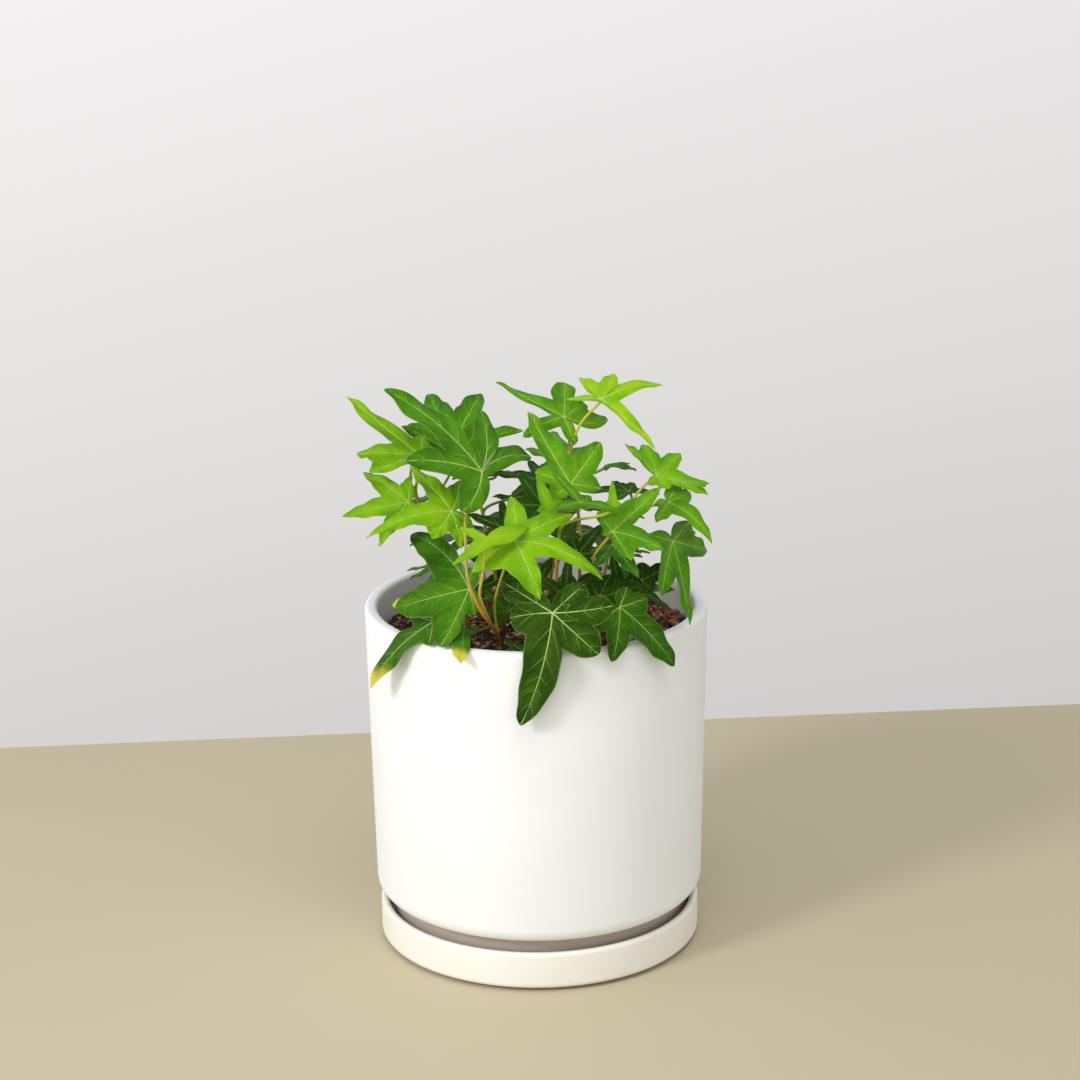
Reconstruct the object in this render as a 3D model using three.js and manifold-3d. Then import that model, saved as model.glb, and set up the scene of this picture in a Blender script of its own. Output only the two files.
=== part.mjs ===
// A potted english ivy: bushy shoots of lobed leaves, rooted in soil, in a round white pot that
// stands on its saucer. Millimetres, +Z up. The origin is on the saucer's flat underside, at the
// pot's axis, and the side that the plant shows best faces -Y.
import * as THREE from 'three';
import { mergeVertices } from 'three/addons/utils/BufferGeometryUtils.js';
import Module from 'manifold-3d';

const wasm = await Module();
wasm.setup();

// Driving sizes of the pot and the saucer
const RIM_HEIGHT = 133.5;
const POT_TOP_RADIUS = 65;
const POT_BASE_RADIUS = 63;
const POT_UNDERSIDE = 19.5;
const POT_EDGE_ROUND = 5.5;
const POT_WALL = 5;
const POT_FLOOR = 7;
const POT_COVE = 4;
const LIP_ROUND = 1.8;
const FOOT_RADIUS = 56.4;
const DRAIN_RADIUS = 7.5;
const SAUCER_RADIUS = 61.8;
const SAUCER_HEIGHT = 15.5;
const SAUCER_WALL = 3;
const SAUCER_FLOOR = 4.5;
const SAUCER_EDGE_ROUND = 2;
const SAUCER_COVE = 1.5;
const SAUCER_FOOT_RADIUS = 58.5;
const SAUCER_FOOT_HEIGHT = 1.2;
const CLEARANCE = 0.3;

// Driving sizes of the soil
const SOIL_LEVEL = 121;
const SOIL_LUMP = 1.1;
const SOIL_RINGS = 5;
const SOIL_LUMPY_DEPTH = 4;

// Driving sizes of the shoots
const STEM_RADIUS = 0.9;
const STEM_HOLE_CLEARANCE = 0.4;
const STEM_ROOT_DEPTH = 15;
const STEM_PLUMB_BELOW = 4;
const STEM_PLUMB_ABOVE = 2;
const STALK_RADIUS = 0.65;
const STALK_END_DEPTH = 0.2;
const BLADE_THICKNESS = 0.7;

// Bow of a leaf stalk, in parts of its span: how far it goes on up along the stem, and how far it
// comes in from behind and from below the blade
const STALK_CLIMB = 0.3;
const STALK_BEHIND = 0.2;
const STALK_BELOW = 0.25;

// Shape of a blade, in parts of its middle lobe's length
const NOTCH = 0.05;
const NOTCH_LIMIT = 0.85;
const SHORT_LOBE = 0.7;
const LONG_LOBE = 0.68;
const REAR_SHOULDER = 1.2;
const SHARP_SHOULDER = 0.8;
const BLUNT_SHOULDER = 1.15;
const SHARP_TIP_ALONG = 0.7;
const SHARP_TIP_WIDTH = 0.34;
const BLUNT_TIP_WIDTH = 0.85;
const PLEAT = 0.16;

// Ripple of a lobe's margin: its height in parts of the lobe's own reach, and its turn in radians
const WAVE = 0.03;
const WAVE_TURN = 9.4;

// Fineness of the faceted bodies
const ROUND_SEGMENTS = 40;
const STEM_SIDES = 5;
const STEM_STEPS = 9;
const STALK_SIDES = 3;
const STALK_STEPS = 4;
const HOLE_SIDES = 6;

const UP = new THREE.Vector3(0, 0, 1);
const { lerp } = THREE.MathUtils;

const MATERIALS = {
  pot: { color: 0xf4f3f0, roughness: 0.75, metalness: 0 },
  saucer: { color: 0xeeebe1, roughness: 0.7, metalness: 0 },
  soil: { color: 0x3b2a20, roughness: 1, metalness: 0 },
  dark: { color: 0x2f6a1c, roughness: 0.45, metalness: 0 },
  mid: { color: 0x4c9420, roughness: 0.45, metalness: 0 },
  lime: { color: 0x7fbf20, roughness: 0.5, metalness: 0 },
};

// Lobes of a blade as [angle from the middle lobe in degrees, counted to the left, reach, width,
// bend of its vein in degrees, how far the blade fills the notch on its left]. The last three are
// left out where they are 1, 0 and 1.
const STAR = [[-108, 0.46], [-50, 0.7], [0, 1], [50, 0.7], [108, 0.46]];
const BROAD = [[-100, 0.6], [-50, 0.8], [0, 1], [50, 0.8], [100, 0.6]];
const SLIM = [[-52, 0.5], [0, 1], [52, 0.5]];

// Shape of a blade's lobes as [half width, how blunt they are]
const YOUNG = [0.12, 0.1];
const GROWN = [0.14, 0.55];

// A leaf: how far up its stem it sprouts (0 to 1), where its stalk meets the blade, the tip of its
// middle lobe, the way its upper face looks [degrees right of the front, degrees up], its lobes,
// their shape, how much its tips droop, and points on the way of its stalk, where that isn't a
// plain bow.
function leaf(on, seat, tip, face, lobes = STAR, shape = GROWN, droop = 0.12, via = []) {
  return { on, seat, tip, face, lobes, shape, droop, via };
}

// The shoots: the route of each stem from the soil up, and its leaves
const SHOOTS = [
  {
    name: 'shoot_front',
    tone: 'lime',
    route: [[-13, -36, 121], [-14, -39, 132], [-20, -56, 148], [-24, -59, 160], [-25, -48, 177]],
    leaves: [
      leaf(1, [-19, -34, 193], [-54, -25, 222], [40, 45],
        [[-111, 0.59, 1, 24], [-57, 0.63, 1.1, -16], [0, 1, 1.1, -12], [43, 0.66, 1.1, -12],
         [103, 0.45, 1.3, 18]], [0.12, 0.85]),
      leaf(0.93, [-30, -44, 181], [-60, -56, 175], [5, 42],
        [[-132, 0.54, 1.1], [-77, 0.76, 1.4], [0, 1, 1, -14, 1.1], [38, 0.44, 1.2], [85, 0.46, 0.8],
         [128, 0.33, 0.9, 8]], [0.13, 0.2], 0.25),
      leaf(0.36, [-17, -62, 176], [-29, -71, 169], [-15, 30],
        [[-66, 0.64], [0, 1, 1, 8], [165, 1.05, 2.1, -18]], [0.15, 0.4], 0.12, [[-20, -58, 154],
         [-19, -61, 161]]),
      leaf(0.1, [-7, -56, 173], [24, -62, 160], [10, 40],
        [[-124, 0.57, 1.2, -14, 1.5], [-46, 0.71, 1.15, 4, 0.85], [0, 1, 0.9, 20], [54, 0.73, 1.25, 8],
         [119, 0.63, 1.2, -8]], [0.14, 0.35], 0.25, [[-15, -41, 144], [-12, -48, 158]]),
    ],
  },
  {
    name: 'shoot_left',
    tone: 'lime',
    route: [[-28, -14, 121], [-31, -17, 145], [-38, -24, 166], [-43, -27, 182]],
    leaves: [
      leaf(1, [-42, -24, 197], [-69, -3, 214], [25, 60],
        [[-105, 0.2], [-50, 0.25], [0, 1, 1, 8], [54, 0.61, 0.9], [80, 0.57, 0.8]], [0.14, 0.4]),
      leaf(0.9, [-46, -34, 182], [-70, -35, 177], [-5, 30],
        [[-105, 0.4], [-47, 0.83, 1.2, -6], [0, 1, 1.15, -2], [46, 0.8, 1, -6], [105, 0.4, 1.1]],
        [0.14, 0.25]),
      leaf(0.98, [-46, -28, 184], [-45, -24, 193], [-30, 30], SLIM, YOUNG, -0.2),
      leaf(0.75, [-31, -15, 196], [-49, -8, 204], [-10, 45]),
    ],
  },
  {
    name: 'shoot_mid_left',
    tone: 'mid',
    route: [[-12, -6, 121], [-15, -7, 145], [-19, -10, 168], [-22, -12, 186]],
    leaves: [
      leaf(1, [-30, -3, 196], [-40, 22, 209], [-20, 60],
        [[-99, 0.89, 0.9], [-42, 0.92, 1.5], [0, 1, 1.2], [38, 0.73, 1.2], [110, 0.5]], [0.14, 0.6]),
      leaf(0.7, [4, 4, 179], [-17, 10, 181], [-10, 70]),
      leaf(0.55, [5, 4, 170], [-16, 9, 172], [0, 70]),
      leaf(0.5, [-10, -20, 167], [-25, -12, 171], [-10, 50], BROAD),
      leaf(0.25, [-8, -6, 146], [-26, 4, 150], [-10, 50], BROAD),
      leaf(0.15, [-32, -4, 137], [-50, -3, 134], [-60, 55], BROAD),
      leaf(0.3, [-3, 9, 144], [-2, 27, 139], [-175, 60], BROAD),
    ],
  },
  {
    name: 'shoot_low_left',
    tone: 'dark',
    route: [[-24, -26, 121], [-25, -32, 131], [-26, -38, 139]],
    leaves: [
      leaf(0.9, [-24, -48, 153], [-51, -45, 145], [-25, 32],
        [[-105, 0.3], [-57, 1.17, 1.2, -20], [0, 1, 1.15, 0, 1.25], [53, 0.83, 1.2, 6, 1.3],
         [92, 0.36, 0.9]], [0.19, 0.75]),
      leaf(0.7, [-37, -49, 141], [-61, -43, 114], [-50, 30],
        [[-105, 0.25], [-55, 0.3], [0, 1, 1.3, -16], [52, 0.25], [100, 0.2]], [0.16, 0.5]),
      leaf(0.95, [-26, -50, 138], [-27, -66, 131], [0, 35],
        [[-60, 0.6], [0, 1], [75, 0.25]], [0.26, 0.5]),
      leaf(0.6, [-36, -35, 145], [-53, -28, 141], [-30, 55],
        [[-70, 0.78, 1.4], [0, 1, 1.8], [50, 0.6]], [0.16, 0.5]),
      leaf(0.35, [-10, -28, 138], [-20, -19, 144], [-10, 50], BROAD),
    ],
  },
  {
    name: 'shoot_top',
    tone: 'mid',
    route: [[4, -6, 121], [6, -10, 148], [11, -12, 176], [13, -9, 195]],
    leaves: [
      leaf(1, [11, -5, 206], [-14, 2, 218], [25, 55],
        [[-138, 0.67, 1.3, -30], [-106, 0.46, 1.2, 0, 1.6], [-67, 0.65, 2.3, 0, 1.1], [0, 1, 0.55, 8],
         [66, 0.7, 1.1, -10], [138, 0.44, 1.3]], [0.11, 0.8]),
      leaf(0.95, [25, -12, 214], [44, -32, 200], [-10, 50],
        [[-139, 0.45, 0.9, -10, 0.3], [0, 1, 0.85, 4], [66, 0.75, 1.1, 18], [123, 0.46, 1.2, -6],
         [174, 0.52]], [0.13, 0.25], 0.12, [[17, -10, 204]]),
      leaf(0.7, [13, -34, 188], [-2, -13, 210], [20, 50],
        [[-115, 0.35], [-57, 0.71, 1.3], [0, 1, 1, 6], [50, 0.4], [108, 0.3]], [0.14, 0.6]),
      leaf(0.72, [27, -4, 187], [38, -12, 187], [0, 75],
        [[-60, 0.35], [0, 1], [27, 0.65]], [0.14, 0.3]),
    ],
  },
  {
    name: 'shoot_centre',
    tone: 'mid',
    route: [[6, -22, 121], [7, -26, 140], [8, -29, 158], [9, -31, 170]],
    leaves: [
      leaf(1, [16, -56, 187], [33, -54, 181], [25, 45],
        [[-149, 0.65, 1.2, -8], [0, 1, 1, 14], [45, 0.3], [131, 1.04, 1, 4]], [0.14, 0.3]),
      leaf(0.9, [6, -44, 180], [1, -40, 194], [-20, 34],
        [[-60, 0.4], [0, 1, 1.2, 4], [60, 0.35]], [0.17, 0.2]),
      leaf(0.7, [3, -16, 175], [-6, -1, 184], [-20, 50]),
      leaf(0.6, [11, -30, 167], [7, -22, 177], [0, 40]),
      leaf(0.45, [16, -19, 157], [25, -4, 164], [0, 45]),
      leaf(0.3, [14, -24, 143], [25, -9, 149], [0, 45]),
      leaf(0.97, [28, -44, 182], [28, -40, 191], [5, 20],
        [[-70, 0.35], [0, 1, 1.3], [70, 0.35]], [0.16, 0.2]),
      leaf(0.35, [0, -24, 146], [-6, -14, 158], [-5, 40], BROAD),
    ],
  },
  {
    name: 'shoot_right',
    tone: 'lime',
    route: [[24, -12, 121], [27, -16, 142], [32, -21, 162], [36, -23, 178]],
    leaves: [
      leaf(1, [45, -20, 187], [64, -24, 185], [0, 48],
        [[-120, 0.25, 1.2], [-42, 0.4, 1.4], [-14, 1.05, 0.8, 0, 1.4], [0, 1, 0.9, -16],
         [60, 0.68, 1.9], [120, 0.88, 1, -10], [136, 1.13, 0.5]], [0.15, 0.35]),
      leaf(0.85, [49, -28, 179], [64, -41, 167], [25, 55],
        [[-115, 0.25], [-68, 0.51, 1.2], [0, 1, 1.1, 20, 1.3], [90, 0.5, 1.4, 0, 1.3],
         [122, 0.54, 1.3]], [0.15, 0.35]),
      leaf(0.65, [50, -34, 166], [56, -47, 138], [50, 25],
        [[-105, 0.37, 1.1], [-33, 0.77, 1, -8], [0, 1, 0.8, -4], [78, 0.63, 1.5],
         [118, 0.5, 1.4, 0, 1.2]], [0.15, 0.4]),
      leaf(0.9, [35, -16, 180], [16, -15, 180], [0, 75],
        [[-170, 0.61], [-100, 0.4], [-50, 0.5], [0, 1], [50, 0.5]]),
      leaf(0.2, [38, -8, 140], [53, 2, 136], [60, 60], BROAD),
    ],
  },
  {
    name: 'shoot_right_front',
    tone: 'mid',
    route: [[22, -26, 121], [24, -29, 138], [25, -33, 152]],
    leaves: [
      leaf(1, [28, -45, 173], [46, -32, 186], [-20, 55],
        [[-110, 0.58, 1.1], [-76, 0.82, 1.2, 8], [0, 1, 1.7, -6, 1.5], [74, 0.46, 1.3, 0, 1.3],
         [149, 0.15, 0.9]], [0.13, 0.3], 0.12, [[21, -42, 162]]),
      leaf(0.9, [28, -38, 166], [37, -56, 159], [-15, 60],
        [[-108, 0.4], [-56, 0.65], [0, 1, 1.1], [50, 0.5], [108, 0.4]], [0.15, 0.4]),
      leaf(0.5, [31, -36, 147], [28, -26, 160], [10, 40], BROAD),
      leaf(0.6, [39, -30, 150], [51, -21, 154], [10, 40],
        [[-110, 0.3], [-86, 0.39, 1.2, 0, 1.3], [0, 1, 1.3, -5, 1.3], [50, 0.49, 1.1], [110, 0.4]],
        [0.2, 0.5]),
    ],
  },
  {
    name: 'shoot_low_right',
    tone: 'dark',
    route: [[14, -42, 121], [13, -44, 130], [14, -46, 138]],
    leaves: [
      leaf(1, [6, -62, 148], [-6, -69, 108], [-12, 25],
        [[-104, 0.55, 0.95], [-67, 0.38, 1.05, -6], [0, 1, 1, 13, 1.05], [66, 0.53], [115, 0.52, 1, -6],
         [151, 0.37, 0.9]], [0.18, 0.7], 0.2),
      leaf(0.9, [30, -56, 148], [50, -49, 123], [15, 35],
        [[-110, 0.4], [-59, 0.61, 0.9, 8], [0, 1, 1.1, 8, 1.6], [56, 0.39], [105, 0.25]], [0.17, 0.6]),
      leaf(0.95, [23, -42, 147], [39, -41, 151], [0, 35],
        [[-100, 0.4], [-50, 0.45], [0, 1, 1.15, 4], [50, 0.6], [100, 0.5]], [0.2, 0.7]),
      leaf(0.7, [11, -41, 147], [12, -31, 160], [0, 35], BROAD),
      leaf(0.3, [-2, -50, 128], [-17, -52, 125], [0, 50], BROAD),
    ],
  },
  {
    name: 'shoot_back_left',
    tone: 'mid',
    route: [[-18, 14, 121], [-21, 18, 143], [-26, 22, 162], [-28, 24, 176]],
    leaves: [
      leaf(1, [-30, 24, 187], [-51, 41, 184], [-140, 60]),
      leaf(0.8, [-34, 28, 168], [-55, 47, 157], [-130, 45]),
      leaf(0.5, [-27, 30, 151], [-43, 52, 143], [-145, 45], BROAD),
      leaf(0.25, [-34, 16, 143], [-50, 26, 138], [-115, 50], BROAD),
      leaf(0.9, [-15, 26, 176], [-19, 54, 168], [-170, 55]),
    ],
  },
  {
    name: 'shoot_back_right',
    tone: 'mid',
    route: [[16, 14, 121], [17, 17, 140], [17, 20, 158], [15, 21, 172]],
    leaves: [
      leaf(1, [12, 22, 182], [7, 46, 188], [-170, 55]),
      leaf(0.8, [22, 26, 162], [37, 50, 151], [150, 50]),
      leaf(0.5, [24, 22, 146], [45, 36, 141], [130, 50]),
      leaf(0.25, [32, 8, 141], [50, 14, 137], [100, 55], BROAD),
      leaf(0.9, [5, 28, 166], [-1, 54, 159], [-175, 50], BROAD),
    ],
  },
  {
    name: 'shoot_back_low',
    tone: 'dark',
    route: [[-2, 34, 121], [-2, 38, 131], [-1, 42, 139]],
    leaves: [
      leaf(1, [0, 60, 150], [2, 74, 122], [180, 30], BROAD),
      leaf(0.8, [-20, 55, 145], [-28, 70, 120], [-160, 30]),
      leaf(0.8, [24, 54, 145], [34, 67, 121], [155, 30]),
      leaf(0.6, [9, 36, 143], [14, 54, 145], [170, 60]),
    ],
  },
];

// Points of an arc in a profile: centre, radius, and the first and last angle in degrees
function arc(centreR, centreZ, radius, from, to, steps) {
  const points = [];
  for (let i = 0; i <= steps; i += 1) {
    const angle = THREE.MathUtils.degToRad(from + ((to - from) * i) / steps);
    points.push([centreR + radius * Math.cos(angle), centreZ + radius * Math.sin(angle)]);
  }
  return points;
}

// A closed body turned round the Z axis from a profile of [radius, height]
function turned(profile, segments = ROUND_SEGMENTS) {
  const points = profile.map(([r, z]) => new THREE.Vector2(r, z));
  return new THREE.LatheGeometry(points, segments).rotateX(Math.PI / 2);
}

// A geometry as a solid: shared vertices merged, and triangles with two like corners dropped
function solid(geometry) {
  const bare = new THREE.BufferGeometry().setAttribute('position', geometry.getAttribute('position'));
  bare.setIndex(geometry.index);
  const merged = mergeVertices(bare, 1e-4);
  const kept = [];
  for (let i = 0; i < merged.index.count; i += 3) {
    const [a, b, c] = [0, 1, 2].map((corner) => merged.index.getX(i + corner));
    if (a !== b && b !== c && c !== a) kept.push(a, b, c);
  }
  const vertProperties = merged.getAttribute('position').array;
  return new wasm.Manifold(new wasm.Mesh({ numProp: 3, vertProperties, triVerts: new Uint32Array(kept) }));
}

// A solid back as a geometry
function geometryOf(body) {
  const { vertProperties, triVerts } = body.getMesh();
  const geometry = new THREE.BufferGeometry();
  geometry.setAttribute('position', new THREE.BufferAttribute(new Float32Array(vertProperties), 3));
  geometry.setIndex(new THREE.BufferAttribute(new Uint32Array(triVerts), 1));
  geometry.computeVertexNormals();
  return geometry;
}

function named(name, geometry, look) {
  const mesh = new THREE.Mesh(geometry, new THREE.MeshStandardMaterial(MATERIALS[look]));
  mesh.name = name;
  return mesh;
}

// The saucer: a shallow tray with a round lip, on a low foot a little smaller than the tray
function saucerGeometry() {
  const lip = SAUCER_WALL / 2;
  const edge = SAUCER_EDGE_ROUND;
  const inner = SAUCER_RADIUS - SAUCER_WALL;
  return turned([
    [0, 0],
    [SAUCER_FOOT_RADIUS, 0],
    [SAUCER_FOOT_RADIUS, SAUCER_FOOT_HEIGHT],
    ...arc(SAUCER_RADIUS - edge, SAUCER_FOOT_HEIGHT + edge, edge, -80, 0, 2),
    ...arc(SAUCER_RADIUS - lip, SAUCER_HEIGHT - lip, lip, 0, 180, 4),
    ...arc(inner - SAUCER_COVE, SAUCER_FLOOR + SAUCER_COVE, SAUCER_COVE, 0, -90, 1),
    [0, SAUCER_FLOOR],
  ]);
}

// Radius of the pot's outer face at a height
function potRadius(z) {
  const rise = (z - POT_UNDERSIDE) / (RIM_HEIGHT - POT_UNDERSIDE);
  return lerp(POT_BASE_RADIUS, POT_TOP_RADIUS, rise);
}

const POT_FOOT_BOTTOM = SAUCER_FLOOR + CLEARANCE;
const POT_FLOOR_TOP = POT_UNDERSIDE + POT_FLOOR;

// The pot: a straight-sided cup with a drain hole, on a narrower foot that sits in the saucer
function potGeometry() {
  const inside = (z) => potRadius(z) - POT_WALL;
  return turned([
    [DRAIN_RADIUS, POT_FOOT_BOTTOM],
    [FOOT_RADIUS, POT_FOOT_BOTTOM],
    [FOOT_RADIUS, POT_UNDERSIDE],
    ...arc(POT_BASE_RADIUS - POT_EDGE_ROUND, POT_UNDERSIDE + POT_EDGE_ROUND, POT_EDGE_ROUND, -90, 0, 3),
    ...arc(POT_TOP_RADIUS - LIP_ROUND, RIM_HEIGHT - LIP_ROUND, LIP_ROUND, 0, 90, 2),
    ...arc(POT_TOP_RADIUS - POT_WALL + LIP_ROUND, RIM_HEIGHT - LIP_ROUND, LIP_ROUND, 90, 180, 2),
    [inside(POT_FLOOR_TOP + POT_COVE), POT_FLOOR_TOP + POT_COVE],
    [inside(POT_FLOOR_TOP) - POT_COVE, POT_FLOOR_TOP],
    [DRAIN_RADIUS, POT_FLOOR_TOP],
    [DRAIN_RADIUS, POT_FOOT_BOTTOM],
  ]);
}

// Height of the soil's lumps over its level
function soilLump(x, y) {
  return SOIL_LUMP * (Math.sin(0.31 * x + 1.7) * Math.cos(0.27 * y) + 0.5 * Math.sin(0.83 * x - 0.71 * y));
}

// The soil: it fills the pot from the floor up, with a lumpy top and a plain hole for each stem. Its
// outer ring of lumps stands a little in from the wall.
function soilGeometry() {
  const inside = (z) => potRadius(z) - POT_WALL - CLEARANCE;
  const bottom = POT_FLOOR_TOP + CLEARANCE;
  const edge = SOIL_LEVEL - SOIL_LUMPY_DEPTH;
  const rings = [];
  for (let ring = SOIL_RINGS; ring > 0; ring -= 1) {
    rings.push([(inside(SOIL_LEVEL) * ring) / (SOIL_RINGS + 0.2), SOIL_LEVEL]);
  }
  const geometry = turned([
    [0, bottom],
    [inside(POT_FLOOR_TOP) - POT_COVE, bottom],
    [inside(POT_FLOOR_TOP + POT_COVE), bottom + POT_COVE],
    [inside(edge), edge],
    ...rings,
    [0, SOIL_LEVEL],
  ], ROUND_SEGMENTS / 2);
  const place = geometry.getAttribute('position');
  for (let i = 0; i < place.count; i += 1) {
    if (place.getZ(i) > edge + 1) place.setZ(i, SOIL_LEVEL + soilLump(place.getX(i), place.getY(i)));
  }
  const depth = STEM_ROOT_DEPTH + 1;
  const holes = SHOOTS.map(({ route: [[x, y]] }) => {
    const radius = STEM_RADIUS + STEM_HOLE_CLEARANCE;
    const hole = new THREE.CylinderGeometry(radius, radius, 2 * depth, HOLE_SIDES);
    return solid(hole.rotateX(Math.PI / 2).translate(x, y, SOIL_LEVEL));
  });
  return geometryOf(holes.reduce((body, hole) => body.subtract(hole), solid(geometry)));
}

// How wide a lobe is on each side of its vein
function lobeWidth(belly, reach, broad) {
  return belly * broad * (SHORT_LOBE + (1 - SHORT_LOBE) * reach);
}

// The edge of half a lobe, from the sinus to the tip, in a frame along its vein
function lobeEdge(reach, width, blunt, depth, halfGap, rear) {
  const [along, across] = [depth * Math.cos(halfGap), depth * Math.sin(halfGap)];
  const rest = reach - along;
  const between = lerp(SHARP_SHOULDER * across, BLUNT_SHOULDER * width, blunt);
  const shoulder = rear ? REAR_SHOULDER * width : between;
  const tipAlong = along + lerp(SHARP_TIP_ALONG, 1, blunt) * rest;
  const tipWidth = lerp(SHARP_TIP_WIDTH, BLUNT_TIP_WIDTH, blunt) * width;
  // No point of the edge goes past the line where the neighbour begins
  const inside = (a, c) => new THREE.Vector2(a, Math.atan2(c, a) > halfGap ? a * Math.tan(halfGap) : c);
  return new THREE.CubicBezierCurve(
    new THREE.Vector2(along, across),
    inside(along + rest / 3, shoulder),
    inside(tipAlong, tipWidth),
    new THREE.Vector2(reach, 0),
  );
}

// One half of a lobe, flat: its vein from the seat to the tip, and its edge from the sinus to the tip
function halfLobe(lobe, neighbour, [belly, blunt], side, rear) {
  const [angle, reach, broad = 1, bend = 0, web = 1] = lobe;
  const [nextAngle, nextReach, nextBroad = 1, , nextWeb = 1] = neighbour;
  const [turn, swing] = [angle, bend].map(THREE.MathUtils.degToRad);
  const halfGap = THREE.MathUtils.degToRad(Math.abs(nextAngle - angle)) / 2;
  const width = lobeWidth(belly, reach, broad);
  const meet = (width + lobeWidth(belly, nextReach, nextBroad)) / 2 / Math.sin(halfGap);
  const filled = (side > 0 ? web : nextWeb) * meet;
  const depth = rear ? NOTCH : Math.min(filled, NOTCH_LIMIT * Math.min(reach, nextReach));
  const edge = lobeEdge(reach, width, blunt, depth, halfGap, rear);
  // A point at a share along the lobe and a share out from its vein
  return (u, v) => {
    const rim = edge.getPoint(u);
    const a = lerp(reach * u, rim.x, v);
    const c = v * rim.y;
    const inward = 1 - Math.min(1, Math.hypot(a, c) / reach);
    const heading = turn + swing * inward * (1 - (Math.atan2(c, a) / halfGap) ** 4);
    const x = a * Math.cos(heading) - side * c * Math.sin(heading);
    const y = a * Math.sin(heading) + side * c * Math.cos(heading);
    const ripple = reach * v * v * Math.sin(Math.PI * u) * Math.sin(WAVE_TURN * u + angle);
    return { x, y, fold: c, ripple };
  };
}

// The middle surface of a blade, flat in its own frame: points and triangles
function bladeSheet({ lobes, shape, droop }) {
  const points = [];
  const triangles = [];
  const seen = new Map();
  const add = ({ x, y, fold, ripple }) => {
    const key = `${Math.round(x * 1e4)} ${Math.round(y * 1e4)}`;
    if (!seen.has(key)) {
      seen.set(key, points.length);
      points.push(new THREE.Vector3(x, y, PLEAT * fold + WAVE * ripple - droop * (x * x + y * y)));
    }
    return seen.get(key);
  };
  const strip = (half, side, steps) => {
    for (let i = 0; i < steps; i += 1) {
      const [u, next] = [i / steps, (i + 1) / steps];
      const [a, b, c, d] = [add(half(u, 0)), add(half(next, 0)), add(half(next, 1)), add(half(u, 1))];
      const faces = b === c ? [[a, b, d]] : [[a, b, c], [a, c, d]];
      faces.forEach((face) => triangles.push(side > 0 ? face : face.reverse()));
    }
  };
  lobes.forEach((lobe, i) => {
    const last = lobes.length - 1;
    const steps = lobe[1] < LONG_LOBE ? 2 : 3;
    const [[firstAngle, ...first], [finalAngle, ...final]] = [lobes[0], lobes[last]];
    const left = i < last ? lobes[i + 1] : [firstAngle + 360, ...first];
    const right = i > 0 ? lobes[i - 1] : [finalAngle - 360, ...final];
    strip(halfLobe(lobe, left, shape, 1, i === last), 1, steps);
    strip(halfLobe(lobe, right, shape, -1, i === 0), -1, steps);
  });
  return { points, triangles };
}

// Turns and scales a blade's sheet so that its seat, its middle tip and its face are as listed
function placeBlade(points, { seat, tip, face, droop }) {
  const chord = new THREE.Vector3(...tip).sub(new THREE.Vector3(...seat));
  const localTip = new THREE.Vector3(1, 0, -droop);
  const scale = chord.length() / localTip.length();
  const local = axes(localTip, UP);
  const world = axes(chord, facing(face));
  const move = world.multiply(local.transpose());
  move.scale(new THREE.Vector3(scale, scale, scale)).setPosition(...seat);
  return points.map((point) => point.clone().applyMatrix4(move));
}

// Right-angled axes with the first along a direction and the third as near as can be to another
function axes(along, upward) {
  const a = along.clone().normalize();
  const c = upward.clone().addScaledVector(a, -upward.dot(a)).normalize();
  const b = new THREE.Vector3().crossVectors(c, a);
  return new THREE.Matrix4().makeBasis(a, b, c);
}

// A leaf blade of even thickness
function bladeSolid(sprout) {
  const { points, triangles } = bladeSheet(sprout);
  const placed = placeBlade(points, sprout);
  const sheet = new THREE.BufferGeometry().setFromPoints(placed);
  sheet.setIndex(triangles.flat());
  sheet.computeVertexNormals();
  const normals = sheet.getAttribute('normal');
  const count = placed.length;
  const skin = [];
  [0.5, -0.5].forEach((share) => placed.forEach((point, i) => {
    const out = new THREE.Vector3().fromBufferAttribute(normals, i);
    skin.push(point.clone().addScaledVector(out, share * BLADE_THICKNESS));
  }));
  const faces = [];
  const rims = new Set(triangles.flatMap(([a, b, c]) => [`${a} ${b}`, `${b} ${c}`, `${c} ${a}`]));
  triangles.forEach(([a, b, c]) => {
    faces.push(a, b, c, a + count, c + count, b + count);
    [[a, b], [b, c], [c, a]].filter(([p, q]) => !rims.has(`${q} ${p}`)).forEach(([p, q]) => {
      faces.push(q, p, p + count, q, p + count, q + count);
    });
  });
  const geometry = new THREE.BufferGeometry().setFromPoints(skin);
  geometry.setIndex(faces);
  return solid(geometry);
}

// A round rod along a curve
function rod(curve, radius, sides, steps) {
  const section = [];
  for (let i = 0; i < sides; i += 1) {
    const angle = (2 * Math.PI * i) / sides;
    section.push(new THREE.Vector2(radius * Math.cos(angle), radius * Math.sin(angle)));
  }
  const options = { steps, extrudePath: curve, bevelEnabled: false };
  return solid(new THREE.ExtrudeGeometry(new THREE.Shape(section), options));
}

// The way that a blade's upper face looks
function facing([right, up]) {
  const [turn, rise] = [right, up].map(THREE.MathUtils.degToRad);
  const flat = Math.cos(rise);
  return new THREE.Vector3(Math.sin(turn) * flat, -Math.cos(turn) * flat, Math.sin(rise));
}

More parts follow.
